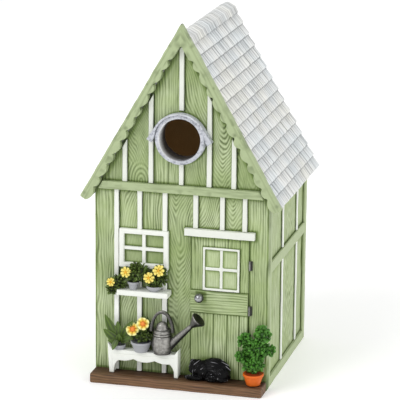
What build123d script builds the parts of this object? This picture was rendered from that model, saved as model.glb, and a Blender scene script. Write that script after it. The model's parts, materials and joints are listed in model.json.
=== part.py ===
from build123d import *
import os
from math import cos, radians, sin, sqrt, tan

# Birdhouse shaped like a garden cottage, with a porch, a bench, flowers and a sleeping cat on the front.
# Sizes are in millimetres. +Z is up, the front faces -Y, and the origin is the middle of the underside.

# House body
house_width = 120.0
house_depth = 122.0
wall_height = 132.7
front_thickness = 7.0
panel_thickness = 5.0
frame_thickness = 2.0
back_thickness = 7.0
back_recess = 4.0
floor_thickness = 6.0
drain_diameter = 5.0
drain_inset = 22.0

# Side frames
front_post_width = 4.7
rear_post_width = 5.7
bottom_rail_height = 6.5
middle_rail_top = 87.4
middle_rail_height = 7.4
side_batten_places = [49.0, 94.0]

# Porch
porch_depth = 15.6
porch_height = 6.7
porch_round = 1.5

# Roof
roof_pitch = 60.3
roof_panel_thickness = 3.0
roof_back_overhang = 2.0
panel_overhang = 7.0
shingle_overhang = 1.5
shingle_butt = 2.0
shingle_head = 0.6
course_count = 14
course_gap = 0.2
ridge_flat_rise = 3.0
ridge_cap_thickness = 1.4
ridge_cap_reach = 6.0

# Bargeboards
barge_thickness = 6.0
barge_rise = 1.0
barge_width = 5.0
barge_tail = 0.2
apex_lobe = 16.3
small_lobe = 7.9
lobe_depth = 2.6
lobe_pairs = 6

# Entrance
hole_diameter = 28.0
hole_height = 171.4
ring_wall = 3.0
ring_reach = 6.5
ring_inner_reach = 2.0
hood_wall = 1.6
hood_ear_wall = 4.4
hood_foot_angle = 5.0
hood_reach = 8.0
hood_angle = 33.0
hood_ear = 12.7

# Trim on the front
batten_width = 3.2
batten_thickness = 2.0
lower_batten_places = [-44.7, -28.6, -11.0, 10.2, 28.4, 43.8]
gable_batten_places = [-39.0, -20.9, 0.0, 19.2, 36.0]
beam_rise = 6.7
beam_height = 5.7
beam_thickness = 4.0

# Window
window_centre = -25.4
window_width = 34.0
window_height = 26.6
window_top = 106.8
window_thickness = 3.0
window_bar_setback = 0.6
stile_width = 3.1
bar_width = 2.5

# Door
door_centre = 27.0
door_width = 39.5
door_board_shares = [0.40, 0.24, 0.21, 0.15]
door_board_gap = 0.3
door_thickness = 1.5
door_rail_top = 68.1
door_rail_height = 15.6
door_rail_thickness = 1.2
door_window_width = 25.3
door_window_height = 30.0
door_window_rise = 0.4
door_window_offset = 1.3
door_window_bar = 1.6
door_muntin = 2.3
door_window_thickness = 1.4
lintel_bottom = 105.4
lintel_height = 5.3
lintel_overhang = 4.5
lintel_thickness = 4.0
knob_diameter = 5.7
knob_inset = 7.1
knob_drop = 4.2
knob_stem_diameter = 2.6
knob_stem_length = 1.4
door_hinge_height = 6.4
door_hinge_places = [55.9, 87.4]
door_hinge_barrel = 2.4
door_hinge_leaf = 3.0
door_hinge_thickness = 0.8

# Flower shelf
shelf_centre = -24.3
shelf_length = 35.4
shelf_depth = 10.5
shelf_top = 65.9
shelf_thickness = 3.6
shelf_round = 0.6

# Bench
bench_centre = -23.1
bench_length = 51.0
bench_reach = 9.5
seat_top = 23.0
seat_thickness = 2.6
bench_end_thickness = 3.2
bench_end_rise = 4.7
bench_arch_diameter = 4.0
apron_thickness = 1.5
apron_height = 3.0
apron_lobe_depth = 1.8
apron_lobes = 3
bench_lead = 7.5

# Pots: across the rim, across the foot, height, and depth of the rim band
pot_rim_height = 1.8
pot_rim_lip = 0.5
soil_drop = 0.6
shelf_pot = (7.8, 5.2, 5.8)
shelf_pot_place = -7.2
shelf_bowl = (10.6, 5.6, 4.0)
shelf_bowl_place = 7.5
bench_pot = (14.2, 9.2, 7.4)
bench_pot_place = -2.4
hosta_pot = (8.4, 7.0, 3.6)
hosta_pot_place = -17.8
porch_pot = (14.2, 9.2, 8.2)
porch_pot_inset = 7.4

# Flowers and foliage
petal_count = 8
petal_thickness = 0.7
eye_share = 0.34
petal_share = 0.3
eye_height = 1.3
flower_tilt = 20.0
flower_gap = 0.05
ball_lead = 0.6
stem_diameter = 2.4
stem_length = 7.0
# Each ball of foliage: across from its pot or shelf, above it, radius, and the flower it carries
shelf_balls = [
    (-22.0, 3.2, 3.2, 5.4),
    (-22.8, -1.2, 3.2, 0),
    (-17.4, 4.6, 4.4, 0),
    (-11.4, 11.0, 3.2, 6.8),
    (-6.2, 11.4, 4.6, 0),
    (-1.6, 13.4, 4.3, 0),
    (4.6, 8.4, 3.4, 7.0),
    (7.6, 9.0, 4.2, 0),
    (11.3, 14.2, 3.8, 7.4),
    (12.6, 8.8, 3.8, 0),
]
bench_balls = [
    (-5.6, 6.8, 3.9, 8.8),
    (-0.4, 5.4, 4.4, 0),
    (1.8, 11.2, 4.2, 8.4),
    (3.4, 5.6, 3.4, 0),
]
shrub_balls = [
    (0.0, 8.0, 5.6, 0),
    (-8.4, 12.0, 5.4, 0),
    (0.4, 17.4, 7.2, 0),
    (-7.2, 22.4, 5.8, 0),
    (8.0, 19.0, 4.8, 0),
    (5.0, 27.4, 5.8, 0),
    (9.4, 28.4, 3.4, 0),
]
leaf_thickness = 1.0
leaf_lean = 12.0
leaf_seat = 0.6
crown_diameter = 4.0
crown_height = 2.5
# Each hosta leaf: angle from upright, length and width
hosta_blades = [(-26, 22, 6.4), (-50, 14.5, 5.6), (-4, 17, 6.4), (18, 13, 5.6), (55, 7, 4.0), (-76, 9, 4.4)]

# Watering can
can_place = 12.3
can_diameter = 14.4
can_height = 17.2
can_band_height = 4.0
can_band_diameter = 13.0
can_neck_diameter = 11.6
# Belly of the can: shares of its radius and of its height under the band
can_belly = [(0.80, 0.0), (0.94, 0.2), (1.0, 0.45), (0.96, 0.72), (0.86, 1.0)]
can_lid_diameter = 9.0
can_lid_height = 5.6
can_lid_curve = [(0.8, 0.6), (0.4, 0.9)]
can_handle_height = 13.0
can_handle_wall = 1.7
can_handle_width = 2.6
can_spout_root = 4.0
can_spout_rise = 21.4
can_spout_run = 21.2
can_spout_lean = 1.2
can_spout_height = 4.6
can_spout_foot = 6.4
can_spout_neck = 3.0
can_rose_diameter = 10.6
can_rose_length = 6.6
can_rose_rim = 0.8

# Sleeping cat
# Each mass: along, ahead and up from its left front foot, then half length, depth and height
cat_shape = [
    (0.60, 0.00, 0.40, 0.40, 0.50, 0.58),
    (0.77, 0.02, 0.30, 0.23, 0.48, 0.42),
    (0.25, 0.06, 0.48, 0.20, 0.42, 0.40),
    (0.19, 0.02, 0.84, 0.05, 0.10, 0.15),
    (0.32, 0.02, 0.86, 0.05, 0.10, 0.14),
    (0.13, 0.10, 0.14, 0.13, 0.34, 0.19),
]
cat_gap = 2.8
cat_length = 32.0
cat_depth = 10.6
cat_height = 16.4

# Rear hatch and its hardware
hatch_width = 62.0
hatch_height = 78.0
hatch_bottom = 18.0
hatch_thickness = 5.0
hatch_gap = 0.8
hatch_lip = 2.5
hatch_lip_clearance = 0.3
hinge_height = 14.0
hinge_inset = 14.0
hinge_leaf_width = 10.0
hinge_leaf_thickness = 1.0
knuckle_diameter = 3.5
knuckle_clearance = 0.3
pin_diameter = 1.6
pin_head_diameter = 2.6
pin_head_height = 0.6
running_clearance = 0.05
screw_diameter = 1.6
screw_head_diameter = 3.2
screw_head_height = 0.8
screw_length = 4.0
screw_tip_clearance = 0.2
button_length = 20.0
button_width = 6.5
button_thickness = 2.4
button_offset = 5.5
button_clearance = 0.3
button_screw_diameter = 2.5
button_screw_head_diameter = 5.2
button_screw_head_height = 1.2
button_screw_length = 5.0

# Hanger
keyhole_diameter = 8.0
keyhole_slot_width = 4.0
keyhole_slot_length = 8.0
keyhole_height = 121.0
plate_width = 24.0
plate_height = 36.0
plate_thickness = 1.2
plate_screw_spacing = 28.0
pocket_margin = 1.5
pocket_depth = 4.5

# Fits
slip_fit = 0.1
relief_clearance = 0.3

# Worked-out places
pitch = radians(roof_pitch)
half_width = house_width / 2
apex = wall_height + half_width * tan(pitch)
front = (porch_depth - house_depth - roof_back_overhang) / 2
front_inside = front + front_thickness
rear = front + house_depth
roof_back = rear + roof_back_overhang
back_face = rear - back_recess
back_inside = back_face - back_thickness
panel_outside = half_width - frame_thickness
panel_inside = panel_outside - panel_thickness
shingle_top = roof_panel_thickness + shingle_butt
lobe_foot = shingle_top + barge_rise - barge_width - lobe_depth
trim_line = lobe_foot - relief_clearance
relief_back = batten_thickness + relief_clearance
beam_top = wall_height + beam_rise
beam_bottom = beam_top - beam_height
window_left = window_centre - window_width / 2
window_right = window_centre + window_width / 2
window_bottom = window_top - window_height
shelf_left = shelf_centre - shelf_length / 2
shelf_right = shelf_centre + shelf_length / 2
shelf_bottom = shelf_top - shelf_thickness
door_left = door_centre - door_width / 2
door_right = door_centre + door_width / 2
lintel_left = door_left - lintel_overhang
lintel_right = door_right + lintel_overhang
lintel_top = lintel_bottom + lintel_height
bench_left = bench_centre - bench_length / 2
bench_right = bench_centre + bench_length / 2
ring_radius = hole_diameter / 2 + ring_wall
hood_radius = ring_radius + slip_fit


def front_plane(ahead):
    """Upright plane this far ahead of the front wall: X across, Z up, pushing towards the viewer."""
    return Plane.XZ.offset(ahead - front)


def back_plane(out):
    """Upright plane this far out from the back wall, pushing away from it: X across, Z up."""
    return Plane(origin=(0, back_face + out, 0), x_dir=(-1, 0, 0), z_dir=(0, 1, 0))


def slope_point(along, rise, side=1):
    """Point of the roof's cross-section: along the slope from the ridge, and square to its underside."""
    across = along * cos(pitch) + rise * sin(pitch)
    return (side * across, apex - along * sin(pitch) + rise * cos(pitch))


def roof_line(across, rise):
    """Height of a line that runs parallel to the roof's underside."""
    return apex + (rise - abs(across) * sin(pitch)) / cos(pitch)


def block(low, high, mode=Mode.ADD):
    """Square block between two opposite corners."""
    size = Vector(*high) - Vector(*low)
    with Locations(Vector(*low) + size / 2):
        Box(size.X, size.Y, size.Z, mode=mode)


def upright(across, low, high, width):
    """Upright bar of a sketch on the front."""
    with Locations((across, (low + high) / 2)):
        Rectangle(width, high - low)


def turned(across, ahead, outline):
    """Solid turned about an upright axis ahead of the front wall, from radius and height points."""
    foot = (across, front - ahead, 0)
    with BuildPart() as lathe:
        with BuildSketch(Plane(origin=foot, x_dir=(1, 0, 0), z_dir=(0, -1, 0))):
            Polygon(*outline)
        revolve(axis=Axis(foot, (0, 0, 1)))
    return lathe.part


def pot(across, ahead, floor, sizes):
    """Tapered flowerpot with a rim band, filled with soil to just under the rim."""
    rim, foot, height = sizes
    lip = rim / 2 - pot_rim_lip
    top = floor + height
    return turned(
        across,
        ahead,
        [
            (0, floor),
            (foot / 2, floor),
            (lip, top - pot_rim_height),
            (rim / 2, top - pot_rim_height),
            (rim / 2, top),
            (lip, top),
            (lip, top - soil_drop),
            (0, top - soil_drop),
        ],
    )


def egg(centre, radii):
    """Egg-shaped solid with its half lengths along X, Y and Z."""
    return Pos(*centre) * scale(Sphere(1), by=radii)


flower_facing = Vector(0, -cos(radians(flower_tilt)), sin(radians(flower_tilt)))


def ball_centre(ball, across, floor, back):
    """Centre of a foliage ball, which is flattened against a plane this far ahead of the wall."""
    return Vector(across + ball[0], front - back - ball_lead * ball[2], floor + ball[1])


def flower_place(flower, balls, across, floor, back):
    """Plane where a flower lies against the foliage in front of its own ball."""
    own = ball_centre(flower, across, floor, back)
    reaches = []
    for ball in balls:
        offset = ball_centre(ball, across, floor, back) - own
        rise = offset.dot(flower_facing)
        aside = max((offset - flower_facing * rise).length - flower[3] / 2, 0)
        if aside < ball[2]:
            reaches.append(rise + sqrt(ball[2] ** 2 - aside**2))
    seat = own + flower_facing * (max(reaches) + flower_gap)
    return Plane(origin=seat, x_dir=(1, 0, 0), z_dir=flower_facing)


def clump(balls, across, floor, back):
    """Foliage: balls grown together, flat at the back."""
    with BuildPart() as foliage:
        for ball in balls:
            with Locations(ball_centre(ball, across, floor, back)):
                Sphere(ball[2])
        split(bisect_by=front_plane(back), keep=Keep.TOP)
    return foliage.part


def stem(across, ahead, floor, sizes):
    """Stem from the soil of a pot up into the foliage over it."""
    with Locations((across, front - ahead, floor + sizes[2] - soil_drop)):
        Cylinder(stem_diameter / 2, stem_length, align=(Align.CENTER, Align.CENTER, Align.MIN))


def flowers(balls, across, floor, back):
    """Daisies with a ring of petals round a raised eye, one on each foliage ball that carries one."""
    with BuildPart() as blooms:
        for ball in balls:
            if ball[3]:
                radius = ball[3] / 2
                eye = radius * eye_share
                petal_foot = eye / 2
                place = flower_place(ball, balls, across, floor, back)
                with BuildSketch(place):
                    with PolarLocations((radius + petal_foot) / 2, petal_count):
                        Ellipse((radius - petal_foot) / 2, radius * petal_share)
                    Circle(eye)
                extrude(amount=petal_thickness)
                with BuildSketch(place):
                    Circle(eye)
                extrude(amount=eye_height)
    return blooms.part


pieces = {}

# Porch plank with rounded front corners
with BuildPart() as porch_step:
    block((-half_width, front - porch_depth, 0), (half_width, front, porch_height))
    fillet(porch_step.edges().filter_by(Axis.Z).group_by(Axis.Y)[0], porch_round)
    fillet(porch_step.edges().filter_by(Axis.X).group_by(Axis.Y)[0].sort_by(Axis.Z)[-1], porch_round / 2)
pieces["porch_step"] = porch_step

# Floor between the four walls, with drain holes
with BuildPart() as floor_panel:
    block((-panel_inside, front_inside, 0), (panel_inside, back_inside, floor_thickness))
    floor_middle = (0, (front_inside + back_inside) / 2, floor_thickness)
    drain_x = 2 * (panel_inside - drain_inset)
    drain_y = back_inside - front_inside - 2 * drain_inset
    with Locations(floor_middle):
        with GridLocations(drain_x, drain_y, 2, 2):
            Hole(drain_diameter / 2, floor_thickness)
pieces["floor_panel"] = floor_panel

# Front wall with its gable and the entrance hole
with BuildPart() as front_wall:
    with BuildSketch(front_plane(-front_thickness)):
        Polygon(
            (-half_width, 0),
            (half_width, 0),
            (half_width, wall_height),
            (0, apex),
            (-half_width, wall_height),
        )
        with Locations((0, hole_height)):
            Circle(ring_radius + slip_fit, mode=Mode.SUBTRACT)
    extrude(amount=front_thickness)
pieces["front_wall"] = front_wall

# Screw places on the back: hinge leaves, then the hanger plate
hinge_x = hatch_width / 2 + hatch_gap / 2
hinge_places = [hatch_bottom + hinge_inset, hatch_bottom + hatch_height - hinge_inset]
leaf_screw_x = (hinge_leaf_width + knuckle_diameter) / 2
leaf_screw_rise = hinge_height / 4
fixed_screw_places = [
    (hinge_x + leaf_screw_x, place + rise)
    for place in hinge_places
    for rise in (-leaf_screw_rise, leaf_screw_rise)
]
moving_screw_places = [(hinge_x - leaf_screw_x, height) for across, height in fixed_screw_places]
plate_middle = keyhole_height + keyhole_slot_length / 2
plate_screw_rise = plate_screw_spacing / 2
plate_screw_places = [(0, plate_middle - plate_screw_rise), (0, plate_middle + plate_screw_rise)]
button_place = (-(hatch_width / 2 + hatch_gap + button_offset), hatch_bottom + hatch_height / 2)
screw_bore = screw_diameter / 2 + running_clearance

# Back wall with a rebated opening for the hatch, the hanger's pocket and the screw holes
with BuildPart() as back_wall:
    with BuildSketch(back_plane(-back_thickness)):
        Polygon(
            (-panel_inside, 0),
            (panel_inside, 0),
            (panel_inside, roof_line(panel_inside, 0)),
            (0, apex),
            (-panel_inside, roof_line(panel_inside, 0)),
        )
        with Locations((0, hatch_bottom + hatch_height / 2)):
            lip = 2 * (hatch_gap - hatch_lip)
            Rectangle(hatch_width + lip, hatch_height + lip, mode=Mode.SUBTRACT)
    extrude(amount=back_thickness)
    with BuildSketch(back_plane(0)):
        with Locations((0, hatch_bottom + hatch_height / 2)):
            Rectangle(hatch_width + 2 * hatch_gap, hatch_height + 2 * hatch_gap)
    extrude(amount=-(hatch_thickness + hatch_lip_clearance), mode=Mode.SUBTRACT)
    with BuildSketch(back_plane(0)):
        with Locations((0, keyhole_height + keyhole_slot_length / 2)):
            pocket = keyhole_diameter + 2 * pocket_margin
            SlotOverall(keyhole_slot_length + pocket, pocket, rotation=90)
    extrude(amount=-pocket_depth, mode=Mode.SUBTRACT)
    with BuildSketch(back_plane(0)):
        with Locations(*fixed_screw_places, *plate_screw_places):
            Circle(screw_bore)
    extrude(amount=-screw_length, mode=Mode.SUBTRACT)
    with BuildSketch(back_plane(0)):
        with Locations(button_place):
            Circle(button_screw_diameter / 2 + running_clearance)
    extrude(amount=-button_screw_length, mode=Mode.SUBTRACT)
pieces["back_wall"] = back_wall

# Side walls: a panel, posts, rails and battens on each side
for side, sign in (("left", -1), ("right", 1)):
    inner_top = roof_line(panel_inside, 0)
    outer_top = roof_line(panel_outside, 0)
    with BuildPart() as side_panel:
        with BuildSketch(front_plane(-house_depth)):
            Polygon(
                (sign * panel_inside, 0),
                (sign * panel_outside, 0),
                (sign * panel_outside, outer_top),
                (sign * panel_inside, inner_top),
            )
        extrude(amount=house_depth - front_thickness)
    pieces[f"{side}_side_panel"] = side_panel

    frame_outline = [
        (sign * panel_outside, 0),
        (sign * half_width, 0),
        (sign * half_width, wall_height),
        (sign * panel_outside, outer_top),
    ]
    post_starts = [front_inside + front_post_width, rear]
    with BuildPart() as side_posts:
        for start, width in zip(post_starts, (front_post_width, rear_post_width)):
            with BuildSketch(Plane.XZ.offset(-start)):
                Polygon(*frame_outline)
            extrude(amount=width)
    pieces[f"{side}_side_posts"] = side_posts

    bay_front = front_inside + front_post_width
    bay_back = rear - rear_post_width
    faces = sorted((sign * panel_outside, sign * half_width))
    middle_rail_bottom = middle_rail_top - middle_rail_height
    with BuildPart() as side_rails:
        block((faces[0], bay_front, 0), (faces[1], bay_back, bottom_rail_height))
        block((faces[0], bay_front, middle_rail_bottom), (faces[1], bay_back, middle_rail_top))
    pieces[f"{side}_side_rails"] = side_rails

    with BuildPart() as side_battens:
        for place in side_batten_places:
            low_y = front + place - batten_width / 2
            high_y = front + place + batten_width / 2
            block((faces[0], low_y, bottom_rail_height), (faces[1], high_y, middle_rail_bottom))
            with BuildSketch(Plane.XZ.offset(-high_y)):
                Polygon(
                    (sign * panel_outside, middle_rail_top),
                    (sign * half_width, middle_rail_top),
                    (sign * half_width, wall_height),
                    (sign * panel_outside, outer_top),
                )
            extrude(amount=batten_width)
    pieces[f"{side}_side_battens"] = side_battens

# Roof boards, shingle courses and bargeboards on each slope
panel_end = half_width / cos(pitch) + panel_overhang
course_end = panel_end + shingle_overhang
course_pitch = (course_end - ridge_cap_reach) / course_count
ridge_flat = apex + ridge_flat_rise
flat_half = (roof_line(0, roof_panel_thickness) - ridge_flat) / tan(pitch)
roof_length = roof_back - front
for side, sign in (("left", -1), ("right", 1)):
    with BuildPart() as roof_panel:
        with BuildSketch(Plane.XZ.offset(-roof_back)):
            Polygon(
                (0, apex),
                slope_point(panel_end, 0, sign),
                slope_point(panel_end, roof_panel_thickness, sign),
                (sign * flat_half, ridge_flat),
                (0, ridge_flat),
            )
        extrude(amount=roof_length)
    pieces[f"{side}_roof_panel"] = roof_panel

    with BuildPart() as courses:
        for course in range(course_count):
            head = ridge_cap_reach + course * course_pitch + course_gap
            butt = ridge_cap_reach + (course + 1) * course_pitch
            with BuildSketch(Plane.XZ.offset(-roof_back)):
                Polygon(
                    slope_point(head, roof_panel_thickness, sign),
                    slope_point(butt, roof_panel_thickness, sign),
                    slope_point(butt, shingle_top, sign),
                    slope_point(head, roof_panel_thickness + shingle_head, sign),
                )
            extrude(amount=roof_length)
    pieces[f"{side}_shingle_courses"] = courses

    barge_top = shingle_top + barge_rise
    barge_root = barge_top - barge_width
    barge_end = course_end + barge_tail
    pair_length = (barge_end - apex_lobe) / lobe_pairs
    with BuildPart() as bargeboard:
        with BuildSketch(front_plane(0)):
            with BuildLine():
                Polyline(
                    (0, roof_line(0, lobe_foot)),
                    (0, roof_line(0, barge_top)),
                    slope_point(barge_end, barge_top, sign),
                    slope_point(barge_end, barge_root, sign),
                )
                for pair in range(lobe_pairs):
                    start = apex_lobe + pair * pair_length
                    for low, high in ((start, start + small_lobe), (start + small_lobe, start + pair_length)):
                        ThreePointArc(
                            slope_point(low, barge_root, sign),
                            slope_point((low + high) / 2, lobe_foot, sign),
                            slope_point(high, barge_root, sign),
                        )
                Polyline(
                    slope_point(apex_lobe, barge_root, sign),
                    slope_point(apex_lobe - lobe_depth, lobe_foot, sign),
                    (0, roof_line(0, lobe_foot)),
                )
            make_face()
        extrude(amount=barge_thickness)
    pieces[f"{side}_bargeboard"] = bargeboard

# Rounded ridge row over the two roof boards
with BuildPart() as ridge_cap:
    cap_edge = slope_point(ridge_cap_reach, shingle_top)
    with BuildSketch(Plane.XZ.offset(-roof_back)):
        with BuildLine():
            ThreePointArc(cap_edge, (0, ridge_flat + ridge_cap_thickness), (-cap_edge[0], cap_edge[1]))
            Polyline(
                (-cap_edge[0], cap_edge[1]),
                slope_point(ridge_cap_reach, roof_panel_thickness, -1),
                (-flat_half, ridge_flat),
                (flat_half, ridge_flat),
                slope_point(ridge_cap_reach, roof_panel_thickness),
                cap_edge,
            )
        make_face()
    extrude(amount=roof_length)
pieces["ridge_cap"] = ridge_cap

# Tube that lines the entrance hole
with BuildPart() as entrance_ring:
    with BuildSketch(front_plane(-front_thickness - ring_inner_reach)):
        with Locations((0, hole_height)):
            Circle(ring_radius)
            Circle(hole_diameter / 2, mode=Mode.SUBTRACT)
    extrude(amount=front_thickness + ring_inner_reach + ring_reach)
pieces["entrance_ring"] = entrance_ring

# Arch over the ring, with straight ends that lead the rain away
with BuildPart() as entrance_hood:
    turn = radians(hood_angle)
    hood_foot = radians(hood_foot_angle)
    outer = hood_radius + hood_wall
    ear_x = hood_ear * sin(turn)
    ear_z = -hood_ear * cos(turn)
    hood_middle = (0, front - relief_back, hole_height)
    with BuildSketch(Plane(origin=hood_middle, x_dir=(1, 0, 0), z_dir=(0, -1, 0))):
        with BuildLine():
            for side in (1, -1):
                ear_top = (side * outer * cos(turn), outer * sin(turn))
                ear_end = (ear_top[0] + side * ear_x, ear_top[1] + ear_z)
                Polyline(
                    ear_top,
                    ear_end,
                    (ear_end[0] - side * hood_ear_wall * cos(turn), ear_end[1] - hood_ear_wall * sin(turn)),
                    (side * hood_radius * cos(hood_foot), hood_radius * sin(hood_foot)),
                )
            for radius, angle in ((hood_radius, hood_foot), (outer, turn)):
                ThreePointArc(
                    (radius * cos(angle), radius * sin(angle)),
                    (0, radius),
                    (-radius * cos(angle), radius * sin(angle)),
                )
        make_face()
    extrude(amount=hood_reach - relief_back)
pieces["entrance_hood"] = entrance_hood

# Beam at the foot of the gable, cut back along the bargeboards
with BuildPart() as cross_beam:
    beam_ends = [
        (trim_line + (apex - height) * cos(pitch)) / sin(pitch) for height in (beam_bottom, beam_top)
    ]
    with BuildSketch(front_plane(0)):
        Polygon(
            (-beam_ends[0], beam_bottom),
            (beam_ends[0], beam_bottom),
            (beam_ends[1], beam_top),
            (-beam_ends[1], beam_top),
        )
    extrude(amount=beam_thickness)
pieces["cross_beam"] = cross_beam

# White battens above the beam; the middle one stops at the entrance
with BuildPart() as gable_battens:
    half_batten = batten_width / 2
    hood_top = hole_height + hood_radius + hood_wall + relief_clearance
    ring_bottom = hole_height - ring_radius - relief_clearance
    with BuildSketch(front_plane(0)):
        for place in gable_batten_places:
            passes_entrance = abs(place) < half_batten
            left_edge = place - half_batten
            right_edge = place + half_batten
            foot = hood_top if passes_entrance else beam_top
            crown = (place, roof_line(place, trim_line)) if passes_entrance else None
            outline = [
                (left_edge, foot),
                (right_edge, foot),
                (right_edge, roof_line(right_edge, trim_line)),
                crown,
                (left_edge, roof_line(left_edge, trim_line)),
            ]
            Polygon(*[point for point in outline if point])
            if passes_entrance:
                upright(place, beam_top, ring_bottom, batten_width)
    extrude(amount=batten_thickness)
pieces["gable_battens"] = gable_battens

wall_fittings = [
    (window_left, window_right, window_bottom, window_top),
    (shelf_left, shelf_right, shelf_bottom, shelf_top),
    (lintel_left, lintel_right, porch_height, lintel_top),
]


def free_spans(place):
    """Stretches of a lower batten that no window, shelf or door covers."""
    spans = [(porch_height, beam_bottom)]
    for left, right, low, high in wall_fittings:
        if place + batten_width / 2 > left and place - batten_width / 2 < right:
            spans = [cut for start, end in spans for cut in ((start, min(end, low)), (max(start, high), end))]
    return [(start, end) for start, end in spans if end - start > batten_width]


# White battens below the beam
with BuildPart() as lower_battens:
    with BuildSketch(front_plane(0)):
        for place in lower_batten_places:
            for start, end in free_spans(place):
                upright(place, start, end, batten_width)
    extrude(amount=batten_thickness)
pieces["lower_battens"] = lower_battens

# Window frame and the cross of bars inside it
with BuildPart() as window_frame:
    window_middle = (window_centre, window_top - window_height / 2)
    with BuildSketch(front_plane(0)):
        with Locations(window_middle):
            Rectangle(window_width, window_height)
            Rectangle(window_width - 2 * stile_width, window_height - 2 * stile_width, mode=Mode.SUBTRACT)
    extrude(amount=window_thickness)
pieces["window_frame"] = window_frame

with BuildPart() as window_bars:
    with BuildSketch(front_plane(0)):
        with Locations(window_middle):
            Rectangle(bar_width, window_height - 2 * stile_width)
            Rectangle(window_width - 2 * stile_width, bar_width)
    extrude(amount=window_thickness - window_bar_setback)
pieces["window_bars"] = window_bars

# Door: upright boards, a wide rail across them, a glazed light with bars, and its fittings
with BuildPart() as door_boards:
    board_left = door_left
    with BuildSketch(front_plane(0)):
        for share in door_board_shares:
            board_width = share * (door_width + door_board_gap) - door_board_gap
            upright(board_left + board_width / 2, porch_height, lintel_bottom, board_width)
            board_left += board_width + door_board_gap
    extrude(amount=door_thickness)
pieces["door_boards"] = door_boards

with BuildPart() as door_rail:
    with BuildSketch(front_plane(door_thickness)):
        upright(door_centre, door_rail_top - door_rail_height, door_rail_top, door_width)
    extrude(amount=door_rail_thickness)
pieces["door_rail"] = door_rail

light_middle = (door_centre + door_window_offset, door_rail_top + door_window_rise + door_window_height / 2)
light_opening = (door_window_width - 2 * door_window_bar, door_window_height - 2 * door_window_bar)
with BuildPart() as door_window_frame:
    with BuildSketch(front_plane(door_thickness)):
        with Locations(light_middle):
            Rectangle(door_window_width, door_window_height)
            Rectangle(*light_opening, mode=Mode.SUBTRACT)
    extrude(amount=door_window_thickness)
pieces["door_window_frame"] = door_window_frame

with BuildPart() as door_window_bars:
    with BuildSketch(front_plane(door_thickness)):
        with Locations(light_middle):
            Rectangle(door_muntin, light_opening[1])
            Rectangle(light_opening[0], door_muntin)
    extrude(amount=door_window_thickness - window_bar_setback)
pieces["door_window_bars"] = door_window_bars

with BuildPart() as door_lintel:
    with BuildSketch(front_plane(0)):
        upright(door_centre, lintel_bottom, lintel_top, lintel_right - lintel_left)
    extrude(amount=lintel_thickness)
pieces["door_lintel"] = door_lintel

with BuildPart() as door_knob:
    knob_seat = door_thickness + door_rail_thickness
    knob_place = (door_left + knob_inset, door_rail_top - knob_drop)
    with BuildSketch(front_plane(knob_seat)):
        with Locations(knob_place):
            Circle(knob_stem_diameter / 2)
    extrude(amount=knob_stem_length + knob_diameter / 2)
    with Locations((knob_place[0], front - knob_seat - knob_stem_length - knob_diameter / 2, knob_place[1])):
        Sphere(knob_diameter / 2)
    split(bisect_by=front_plane(knob_seat), keep=Keep.TOP)
pieces["door_knob"] = door_knob

with BuildPart() as door_hinges:
    leaf_start = door_right + relief_clearance
    for place in door_hinge_places:
        block(
            (leaf_start, front - door_hinge_thickness, place - door_hinge_height / 2),
            (leaf_start + door_hinge_leaf, front, place + door_hinge_height / 2),
        )
        with Locations((leaf_start + door_hinge_barrel / 2, front - door_hinge_barrel / 2, place)):
            Cylinder(door_hinge_barrel / 2, door_hinge_height)
pieces["door_hinges"] = door_hinges

# Flower shelf with its pots, foliage and flowers
with BuildPart() as flower_shelf:
    block((shelf_left, front - shelf_depth, shelf_bottom), (shelf_right, front, shelf_top))
    fillet(flower_shelf.edges().group_by(Axis.Y)[0], shelf_round)
pieces["flower_shelf"] = flower_shelf

pot_lead = relief_back + shelf_pot[0] / 2
shelf_pot_shape = pot(shelf_centre + shelf_pot_place, pot_lead, shelf_top, shelf_pot)
shelf_bowl_shape = pot(shelf_centre + shelf_bowl_place, pot_lead, shelf_top, shelf_bowl)
with BuildPart() as shelf_pots:
    add(shelf_pot_shape)
    add(shelf_bowl_shape)
    split(bisect_by=front_plane(relief_back), keep=Keep.TOP)
pieces["shelf_pots"] = shelf_pots

shelf_back = window_thickness + relief_clearance
shelf_clump = clump(shelf_balls, shelf_centre, shelf_top, shelf_back)
with BuildPart() as shelf_foliage:
    add(shelf_clump)
    stem(shelf_centre + shelf_pot_place, pot_lead, shelf_top, shelf_pot)
    stem(shelf_centre + shelf_bowl_place, pot_lead, shelf_top, shelf_bowl)
pieces["shelf_foliage"] = shelf_foliage

shelf_blooms = flowers(shelf_balls, shelf_centre, shelf_top, shelf_back)
with BuildPart() as shelf_flowers:
    add(shelf_blooms)
pieces["shelf_flowers"] = shelf_flowers

# Bench: a seat between two end boards, with a scalloped apron under it
seat_left = bench_left + bench_end_thickness
seat_right = bench_right - bench_end_thickness
seat_bottom = seat_top - seat_thickness
with BuildPart() as bench_seat:
    block((seat_left, front - bench_reach, seat_bottom), (seat_right, front - relief_back, seat_top))
pieces["bench_seat"] = bench_seat

with BuildPart() as bench_ends:
    for inner, outer in ((seat_left, bench_left), (seat_right, bench_right)):
        with BuildSketch(front_plane(relief_back)):
            Polygon(
                (outer, porch_height),
                (inner, porch_height),
                (inner, seat_top),
                (outer, seat_top + bench_end_rise),
            )
        extrude(amount=bench_reach - relief_back)
    with Locations((bench_centre, front - (bench_reach + relief_back) / 2, porch_height)):
        Cylinder(bench_arch_diameter / 2, 2 * bench_length, rotation=(0, 90, 0), mode=Mode.SUBTRACT)
pieces["bench_ends"] = bench_ends

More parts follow.
